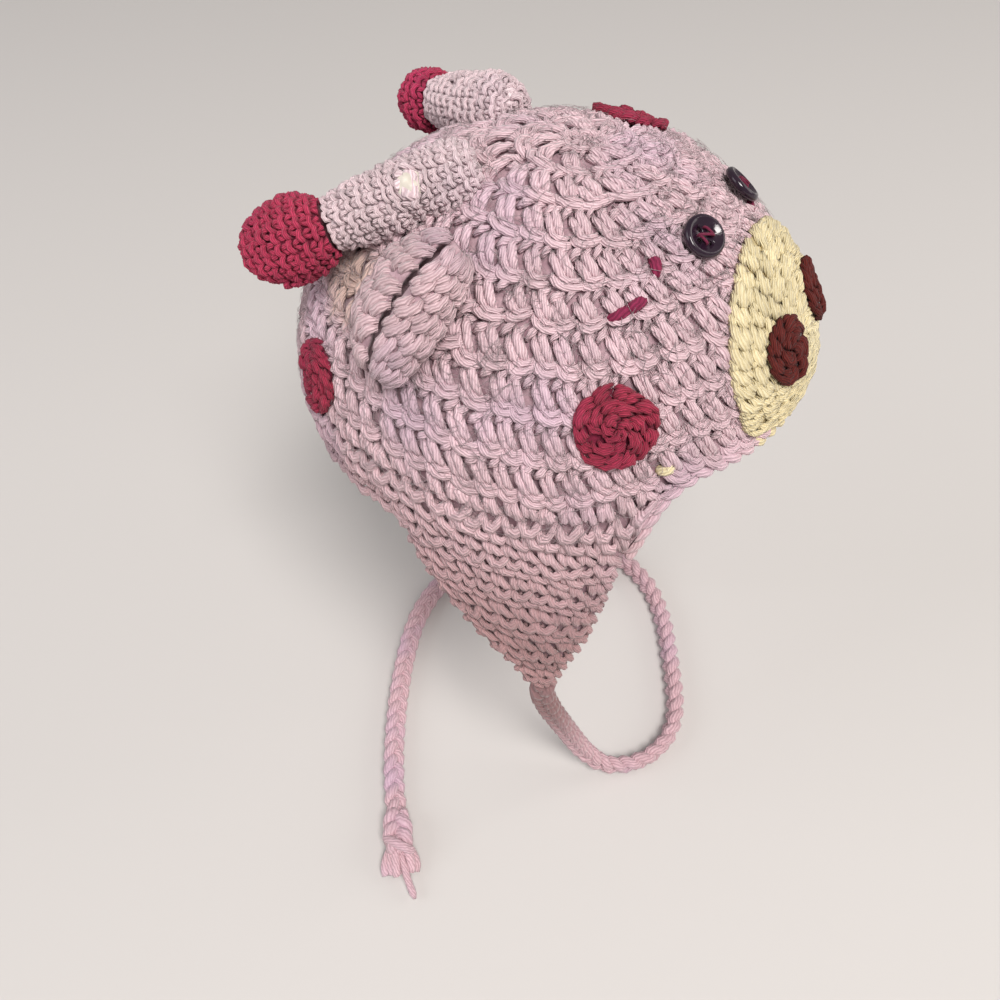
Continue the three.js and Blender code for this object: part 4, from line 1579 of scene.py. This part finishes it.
@dataclass
class RimEdging:
    """The rolled slip-stitch edge along the front rim; cream under the muzzle and lilac beside it.

    Attributes:
        end_turn: Turn in degrees where it runs into the flaps.
        cream_half: Half the cream stretch, in millimetres.
    """

    end_turn: float = 56.8
    cream_half: float = 31.0

    def route(self) -> np.ndarray:
        """Gives the edge's centre line, just outside the rim all along.

        Returns:
            One row a point, in millimetres.
        """
        turns = np.linspace(-self.end_turn, self.end_turn, 801)
        levels = np.interp(np.abs(turns), *zip(*Crown().rim))
        levels = np.convolve(np.pad(levels, 16, mode="edge"), np.ones(33) / 33, mode="valid")
        slopes = np.arccos((levels - HEAD.centre) / HEAD.height)
        points = HEAD.place(np.radians(turns), slopes, np.full(len(turns), -1.7))
        steps = unit_rows(np.gradient(points, axis=0))
        out = np.cross(steps, HEAD.normals(points))
        out *= np.sign(-out[:, 2:3])
        return (points + out * 1.2)[::20]

    def build(self) -> None:
        """Builds the edge from two strands that twist about each other."""
        path = smooth_path(self.route(), 230)
        reach = np.concatenate([[0], np.cumsum(np.linalg.norm(np.diff(path, axis=0), axis=1))])
        frames = frames_along(path)
        bm = bmesh.new()
        for strand in range(2):
            phase = 2 * math.pi * (reach / 11.0 + strand / 2)
            line = [tuple(f @ Vector((1.25 * math.cos(p), 1.25 * math.sin(p), 0))) for f, p in zip(frames, phase)]
            sweep(bm, np.array(line), 1.7, 7)
        bmesh.ops.scale(bm, vec=(MM,) * 3, verts=bm.verts)
        bmesh.ops.recalc_face_normals(bm, faces=bm.faces)
        piece = object_from(bm, "front_rim_edging")
        add_tone(piece, 0.5)
        dress(piece, Finish.LILAC, "rim_edging")
        piece.data.materials.append(Finish.CREAM.value.material())
        for face in piece.data.polygons:
            face.material_index = 1 if abs(face.center.x) < self.cream_half * MM else 0


# ---------------------------------------------------------------- face
@dataclass
class Muzzle:
    """The cream muzzle with its two round nostrils.

    Attributes:
        half_width: Half its width in millimetres.
        centre_slope: Slope of its middle in degrees.
        up_slope: How far it runs up from there, in degrees.
        down_slope: How far it runs down from there, in degrees.
        thickness: Its height over the crown in millimetres.
        nostril_radius: Half a nostril's width.
        nostril_spread: Distance of each nostril from the middle.
        nostril_slope: Slope of the nostrils' middles in degrees.
    """

    half_width: float = 35.8
    centre_slope: float = 64.0
    up_slope: float = 24.5
    down_slope: float = 10.5
    thickness: float = 5.0
    nostril_radius: float = 8.9
    nostril_spread: float = 15.5
    nostril_slope: float = 60.0

    def on_face(self, x: np.ndarray, slope: np.ndarray, lift: np.ndarray) -> np.ndarray:
        """Gives points over the forehead.

        Args:
            x: Distance to the wearer's left in millimetres.
            slope: Angle down from the top.
            lift: Height above the crown.

        Returns:
            One row a point.
        """
        narrow = np.sqrt(1 - (x / HEAD.half_width) ** 2)
        points = np.stack([
            x, -HEAD.half_front * np.sin(slope) * narrow, HEAD.centre + HEAD.height * np.cos(slope) * narrow,
        ], axis=1)
        return points + HEAD.normals(points) * lift[:, None]

    def place(self, angle: np.ndarray, share: np.ndarray, lift: np.ndarray) -> np.ndarray:
        """Gives points of the muzzle's outer face.

        Args:
            angle: Angle round the outline.
            share: Share of the way out to it.
            lift: Height above the outer face.

        Returns:
            One row a point.
        """
        power = np.where(np.sin(angle) < 0, 4.0, 2.15)
        reach = (np.abs(np.cos(angle)) ** power + np.abs(np.sin(angle)) ** power) ** (-1 / power) * share
        span = np.where(np.sin(angle) < 0, self.down_slope, self.up_slope)
        slope = np.radians(self.centre_slope - span * reach * np.sin(angle))
        dome = self.thickness * (0.62 + 0.38 * np.sqrt(np.clip(1 - np.clip(share, 0, 1) ** 3, 0, 1)))
        return self.on_face(self.half_width * reach * np.cos(angle), slope, lift + 0.35 + dome)

    def nostril_at(self, side: float) -> Callable:
        """Gives the placing of one nostril's outer face.

        Args:
            side: 1 for the left one and -1 for the right one.

        Returns:
            The placing, by angle, share of the radius and height.
        """
        per_mm = 1 / HEAD.half_front

        def place(angle: np.ndarray, share: np.ndarray, lift: np.ndarray) -> np.ndarray:
            """Gives points of the nostril.

            Args:
                angle: Angle round the nostril.
                share: Share of its radius.
                lift: Height above its outer face.

            Returns:
                One row a point.
            """
            x = side * self.nostril_spread + self.nostril_radius * share * np.cos(angle)
            slope = math.radians(self.nostril_slope) - self.nostril_radius * share * np.sin(angle) * per_mm
            return self.on_face(x, slope, lift + self.thickness + 0.7 + 2.0)

        return place

    def build(self) -> None:
        """Builds the muzzle and the nostrils."""
        core = core_of("muzzle", "muzzle_back", 1.6, 0.9)
        dress(core, Finish.CREAM_BACK, "muzzle")
        fabric = Fabric("muzzle_stitches", 41, 1.7)
        disc_rows(fabric, self.place, 25.2, 4.1, 0.85, -1.7, stretch=1.1)
        dress(fabric.finish(), Finish.CREAM)
        for name, side in (("left", 1.0), ("right", -1.0)):
            core = core_of(f"nostril_{name}", f"nostril_back_{name}", 0.9, 1.7)
            dress(core, Finish.MAROON_BACK, f"nostril_{name}")
            fabric = Fabric(f"nostril_stitches_{name}", 42, 2.0)
            disc_rows(fabric, self.nostril_at(side), self.nostril_radius - 1.5, 3.6, 0.8, -1.9, stretch=0.95)
            dress(fabric.finish(), Finish.MAROON)


@dataclass
class Patch:
    """A round plum patch, worked from its middle out.

    Attributes:
        name: Name of its pieces.
        node: The node it stands for.
        x: Plan position to the wearer's left, in millimetres.
        y: Plan position towards the back.
        radius: Half its width.
        thickness: Its height over the crown.
    """

    name: str
    node: str
    x: float
    y: float
    radius: float = 11.7
    thickness: float = 2.4

    def place(self, angle: np.ndarray, share: np.ndarray, lift: np.ndarray) -> np.ndarray:
        """Gives points of the patch's outer face.

        Args:
            angle: Angle round the patch.
            share: Share of its radius.
            lift: Height above its outer face.

        Returns:
            One row a point.
        """
        centre = HEAD.top_at(self.x, self.y)
        facing = HEAD.normals(centre[None])[0]
        across = np.array([-facing[1], facing[0], 0.0])
        across = across / np.linalg.norm(across)
        up = np.cross(facing, across)
        reach = self.radius * share * (1 + 0.035 * np.sin(3 * angle + self.x) + 0.03 * np.sin(5 * angle))
        flat = centre + reach[:, None] * (np.cos(angle)[:, None] * across + np.sin(angle)[:, None] * up)
        return HEAD.onto(flat, lift + 0.35 + self.thickness)

    def build(self) -> None:
        """Builds the patch."""
        dress(core_of(self.node, f"{self.name}_back", 0.9, 1.1), Finish.PLUM_BACK, self.node)
        fabric = Fabric(f"{self.name}_stitches", 50 + len(self.name), 2.3)
        disc_rows(fabric, self.place, self.radius - 2.5, 3.3, 0.95, -1.15, stretch=0.95)
        dress(fabric.finish(), Finish.SPOT)


@dataclass
class ButtonEye:
    """A four-hole button and the yarn that sews it on.

    Attributes:
        side: left or right.
        hole_spread: Distance of each hole from the middle both ways, in millimetres.
        rise: Height of the button's face above its seat, in millimetres.
    """

    side: str
    hole_spread: float = 1.7
    rise: float = 1.75

    def build(self) -> None:
        """Builds the button and sews it on with two bars and a slanted stitch."""
        button = core_of(f"button_eye_{self.side}", f"button_{self.side}", 0.0)
        button.data.set_sharp_from_angle(angle=math.radians(50))
        dress(button, Finish.BUTTON, f"button_eye_{self.side}")
        points = np.array([vert.co for vert in button.data.vertices]) * 1000
        centre = points.mean(0)
        facing = np.linalg.svd(points - centre)[2][2]
        facing = facing * np.sign(facing[2])
        low = ((points - centre) @ facing).min()
        seat = centre + facing * low
        across = np.cross(facing, [1.0, 0, 0])
        across /= np.linalg.norm(across)
        aside = np.cross(across, facing)
        bm = bmesh.new()
        size = self.hole_spread
        runs = (((-size, -size), (-size, size)), ((size, -size), (size, size)), ((-size, size), (size, -size)))
        for number, (start, end) in enumerate(runs):
            rows = []
            for share, rise in ((0.0, -1.0), (0.02, 0.5), (0.2, 0.8), (0.8, 0.8), (0.98, 0.5), (1.0, -1.0)):
                a = start[0] + (end[0] - start[0]) * share
                b = start[1] + (end[1] - start[1]) * share
                rows.append(seat + aside * a + across * b + facing * (self.rise + rise + 0.35 * (number == 2)))
            sweep(bm, smooth_path(rows, 12), 0.42, 6)
        bmesh.ops.scale(bm, vec=(MM,) * 3, verts=bm.verts)
        bmesh.ops.recalc_face_normals(bm, faces=bm.faces)
        piece = object_from(bm, f"button_thread_{self.side}")
        add_tone(piece, 0.6)
        dress(piece, Finish.THREAD)


# ---------------------------------------------------------------- horns and ears
@dataclass
class Horn:
    """A stuffed horn: a lilac stem and a plum bulb in fine short stitches.

    Attributes:
        side: left or right.
        base: Where its axis starts, in millimetres.
        direction: Where it points.
        stem_length: Length of the stem.
        tip_length: Length of the bulb.
        tip_radius: Half the bulb's width.
        opening: Turn and distance along the stem where stitches part and the stuffing shows.
        stem_radius: Half the stem's width.
    """

    side: str
    base: Point
    direction: Point
    stem_length: float
    tip_length: float
    tip_radius: float
    opening: tuple[float, float] | None = None
    stem_radius: float = 10.0

    def stem_form(self) -> TurnedForm:
        """Gives the stem's outer form.

        Returns:
            The form.
        """
        r, end = self.stem_radius, self.stem_length
        rows = (
            (0.6, -6.6), (r - 4, -6.2), (r - 0.5, -3.5), (r + 0.8, 2), (r + 0.5, 16), (r, end - 12),
            (r - 1.2, end - 3), (r - 1.9, end),
        )
        return TurnedForm(self.base, self.direction, rows, self.opening)

    def stuffing(self) -> bpy.types.Object:
        """Builds the tuft of stuffing that shows where the stem's stitches part.

        Returns:
            The tuft.
        """
        form = self.stem_form()
        rows = np.array(form.profile)
        reach = np.concatenate([[0], np.cumsum(np.linalg.norm(np.diff(rows, axis=0), axis=1))])
        share = np.array([np.interp(self.opening[1], rows[:, 1], reach) / reach[-1]])
        turn = np.array([self.opening[0]])
        plain = TurnedForm(self.base, self.direction, form.profile)
        low, high = (Vector(plain.place(turn, share, np.array([lift]))[0]) for lift in (-2.2, 1.0))
        bm = bmesh.new()
        bmesh.ops.create_icosphere(bm, subdivisions=4, radius=1.0)
        for vert in bm.verts:
            x, y, z = vert.co
            vert.co *= 1 + 0.07 * math.sin(7 * x + 3 * y) * math.cos(6 * y - 4 * z)
        bmesh.ops.scale(bm, vec=(4.3, 4.3, 2.0), verts=bm.verts)
        facing = (high - low).to_track_quat("Z", "Y").to_matrix().to_4x4()
        bmesh.ops.transform(bm, matrix=Matrix.Translation(low) @ facing, verts=bm.verts)
        bmesh.ops.scale(bm, vec=(MM,) * 3, verts=bm.verts)
        return object_from(bm, f"horn_stuffing_tuft_{self.side}")

    def bulb_form(self) -> TurnedForm:
        """Gives the bulb's outer form.

        Returns:
            The form.
        """
        neck, waist = self.stem_radius - 1.9, 0.36
        rows = [(neck, 0.0)]
        for share in np.linspace(0, 1, 25)[1:]:
            if share < waist:
                radius = neck + (self.tip_radius - neck) * math.sin(share / waist * math.pi / 2)
            else:
                radius = self.tip_radius * math.sqrt(max(0.0, 1 - ((share - waist) / (1 - waist)) ** 2))
            rows.append((radius, self.tip_length * float(share)))
        start = Vector(self.base) + Vector(self.direction).normalized() * (self.stem_length + 0.35)
        return TurnedForm(tuple(start), self.direction, tuple(rows))

    def build(self) -> None:
        """Builds the horn."""
        core = core_of(f"horn_stem_{self.side}", f"horn_core_{self.side}", 1.5)
        dress(core, Finish.STEM_BACK, f"horn_stem_{self.side}")
        fabric = Fabric(f"horn_stem_stitches_{self.side}", 61 if self.side == "left" else 62, 1.5)
        turned_rows(fabric, self.stem_form(), 0.0, 1.0, 3.9, 0.85, -0.75)
        dress(fabric.finish(), Finish.STEM)
        if self.opening:
            dress(self.stuffing(), Finish.STUFFING)
        bulb = core_of(f"horn_tip_{self.side}", f"horn_tip_core_{self.side}", 1.4)
        dress(bulb, Finish.PLUM_BACK, f"horn_tip_{self.side}")
        fabric = Fabric(f"horn_tip_stitches_{self.side}", 63 if self.side == "left" else 64, 1.4)
        turned_rows(fabric, self.bulb_form(), 0.0, 1.0, 4.0, 0.85, -0.7)
        dress(fabric.finish(), Finish.PLUM)


@dataclass
class Ear:
    """An ear folded along its length into two lobes.

    Attributes:
        side: left or right.
        root: Plan position of its root, as on the wearer's left, in millimetres.
        tip: Plan position of its tip.
        half_width: Half its greatest width.
        half_depth: Half its greatest depth.
        outline: Share of its length, with the shares of width and depth there.
    """

    side: str
    root: tuple[float, float]
    tip: tuple[float, float]
    half_width: float = 15.2
    half_depth: float = 6.6
    outline: tuple[tuple[float, float, float], ...] = (
        (0.0, 0.42, 0.8), (0.2, 0.78, 0.95), (0.45, 1.0, 1.0), (0.72, 0.97, 0.95), (0.9, 0.78, 0.8),
        (1.0, 0.45, 0.5),
    )

    def place(self, turn: np.ndarray, share: np.ndarray, lift: np.ndarray) -> np.ndarray:
        """Gives points of the ear's outer face.

        Args:
            turn: Angle round the ear's section, a quarter turn being straight outwards.
            share: Share of its length from root to tip.
            lift: Height above the face.

        Returns:
            One row a point.
        """
        keys, wide, deep = (np.array([row[k] for row in self.outline]) for k in range(3))
        share = np.clip(share, 0.0, 1.0)
        width = self.half_width * np.interp(share, keys, wide) + lift
        depth = self.half_depth * np.interp(share, keys, deep) + lift
        root, tip = np.array(self.root), np.array(self.tip)
        plan = root + (tip - root) * share[:, None]
        foot = np.array([HEAD.top_at(x, y) for x, y in plan])
        ahead = np.array([HEAD.top_at(*(root + (tip - root) * (s + 0.02))) for s in share]) - foot
        facing = HEAD.normals(foot)
        cross = unit_rows(np.cross(facing, ahead))
        middle = foot + facing * (0.85 + self.half_depth * np.interp(share, keys, deep))[:, None]
        points = middle + facing * (depth * np.sin(turn))[:, None] + cross * (width * np.cos(turn))[:, None]
        return points * np.array([1.0 if self.side == "left" else -1.0, 1.0, 1.0])

    def build(self) -> None:
        """Builds the ear."""
        core = core_of(f"ear_{self.side}", f"ear_back_{self.side}", 1.1)
        dress(core, Finish.LILAC_BACK, f"ear_{self.side}")
        fabric = Fabric(f"ear_stitches_{self.side}", 71 if self.side == "left" else 72, 1.6)
        for lobe in (-1.0, 1.0):
            for row in range(5):
                start = 0.07 + row * 0.495

                def place(u: np.ndarray, v: np.ndarray, w: np.ndarray) -> np.ndarray:
                    """Lays a share of the row along the lobe."""
                    turn = math.pi / 2 + lobe * (start + 0.495 * v)
                    return self.place(turn, 0.02 + 0.97 * (u if lobe > 0 else 1 - u), w)

                fabric.row(Stitch.SLANT, 7, place, 1.15, -0.8)
        dress(fabric.finish(), Finish.EAR)


@dataclass
class SmallDetails:
    """Yarn ends that show on the crown, and the fluff that stands off the wool.

    Attributes:
        plum_bits: Turn and slope in degrees of each plum bit, the lean of it and its length in millimetres.
        yellow_bit: The same four numbers for the yellow end.
        fibres: How many loose fibres the crown has.
    """

    plum_bits: tuple[tuple[float, float, float, float], ...] = (
        (-58.5, 42.5, 25, 4.4), (-53, 41, 25, 4.6), (-43.5, 34.5, 75, 3.6), (20.5, 39.5, 10, 3.4),
    )
    yellow_bit: tuple[float, float, float, float] = (-49, 74, 15, 3.2)
    fibres: int = 6000

    def bit(self, bm: bmesh.types.BMesh, spot: tuple[float, float, float, float], radius: float) -> None:
        """Adds one short end of yarn lying in the fabric.

        Args:
            bm: The mesh to add to, in millimetres.
            spot: Turn, slope and lean in degrees and length in millimetres.
            radius: Half its thickness.
        """
        turn, slope, lean, length = spot
        middle = HEAD.place(np.radians([turn]), np.radians([slope]), np.zeros(1))[0]
        facing = HEAD.normals(middle[None])[0]
        across = np.cross([0, 0, 1.0], facing)
        across /= np.linalg.norm(across)
        up = np.cross(facing, across)
        ahead = across * math.cos(math.radians(lean)) + up * math.sin(math.radians(lean))
        arch = ((-0.6, -2.6), (-0.3, 0.0), (0.3, 0.1), (0.6, -2.4))
        rows = [middle + ahead * length * s + facing * w for s, w in arch]
        sweep(bm, smooth_path(rows, 7), radius, 8)

    def yarn_ends(
        self, name: str, spots: Sequence[tuple[float, float, float, float]], radius: float
    ) -> bpy.types.Object:
        """Builds the ends of one colour.

        Args:
            name: Name of the piece.
            spots: The ends.
            radius: Half their thickness.

        Returns:
            The piece.
        """
        bm = bmesh.new()
        for spot in spots:
            self.bit(bm, spot, radius)
        bmesh.ops.scale(bm, vec=(MM,) * 3, verts=bm.verts)
        bmesh.ops.recalc_face_normals(bm, faces=bm.faces)
        piece = object_from(bm, name)
        add_tone(piece, 0.6)
        return piece

    def fluff(self) -> bpy.types.Object:
        """Builds the loose fibres over the crown.

        Returns:
            The fibres.
        """
        fabric = Fabric("crown_fluff", 91)
        random = np.random.default_rng(92)

        def place(u: np.ndarray, v: np.ndarray, w: np.ndarray) -> np.ndarray:
            """Lays one fibre anywhere on the crown, turned any way.

            Args:
                u: Shares along the row of all fibres; less this fibre's number, the place along it.
                v: Shares across the fibre.
                w: Heights in millimetres.

            Returns:
                One row a point.
            """
            along, down = u * self.fibres - round(float(u.mean()) * self.fibres), v
            lean, size = random.uniform(0, 2 * math.pi), random.uniform(0.5, 1.25)
            turn = random.uniform(-math.pi, math.pi)
            rim = float(np.interp(abs(math.degrees(turn)), *zip(*Crown().rim))) + 9.0
            slope = math.acos(random.uniform(max(0.0, (rim - HEAD.centre) / HEAD.height), 1))
            a = (math.cos(lean) * along - math.sin(lean) * down) * 6 * size
            b = (math.sin(lean) * along + math.cos(lean) * down) * 6 * size
            wide = max(0.15, math.sin(slope)) * HEAD.half_width
            foot = HEAD.place(np.array([turn]), np.array([slope]), np.zeros(1))[0]
            sunk = w * size - FIBRE_SINK * under_patch(foot[None], 1.5)
            return HEAD.place(turn + a / wide, slope + b / HEAD.half_width, sunk)

        fabric.row(Stitch.FIBRE, self.fibres, place)
        return fabric.finish()

    def build(self) -> None:
        """Builds the details."""
        dress(self.yarn_ends("plum_yarn_ends", self.plum_bits, 1.75), Finish.THREAD)
        dress(self.yarn_ends("yellow_yarn_end", (self.yellow_bit,), 1.6), Finish.CREAM)
        dress(self.fluff(), Finish.STEM)


def main() -> None:
    """Builds the whole scene in order."""
    logging.basicConfig(level=logging.INFO, format="%(message)s")
    Studio().build()
    BraidedTie("right", 0.300, RIGHT_ROUTE, seed=5).build()
    BraidedTie("left", 0.299, LEFT_ROUTE, seed=8).build()
    Crown().build()
    for side in ("left", "right"):
        Flap(side).build()
        ButtonEye(side).build()
    RimEdging().build()
    Muzzle().build()
    Patch("side_patch", "spot_right_side", -61, -34.3).build()
    Patch("back_patch", "spot_back", -54.5, 66.5).build()
    Patch("top_patch", "spot_left_top", 32, -4).build()
    Horn("right", (-22.5, 30, -1), (-26.5, 47, -20), 40, 29, 13.2, (math.radians(135), 13)).build()
    Horn("left", (22.5, 36, -2.5), (26, 47, -17), 35, 19, 10.9).build()
    Ear("right", (43.5, 17), (64.5, 35.5)).build()
    Ear("left", (60, 21), (72, 31)).build()
    SmallDetails().build()


if __name__ == "__main__":
    main()
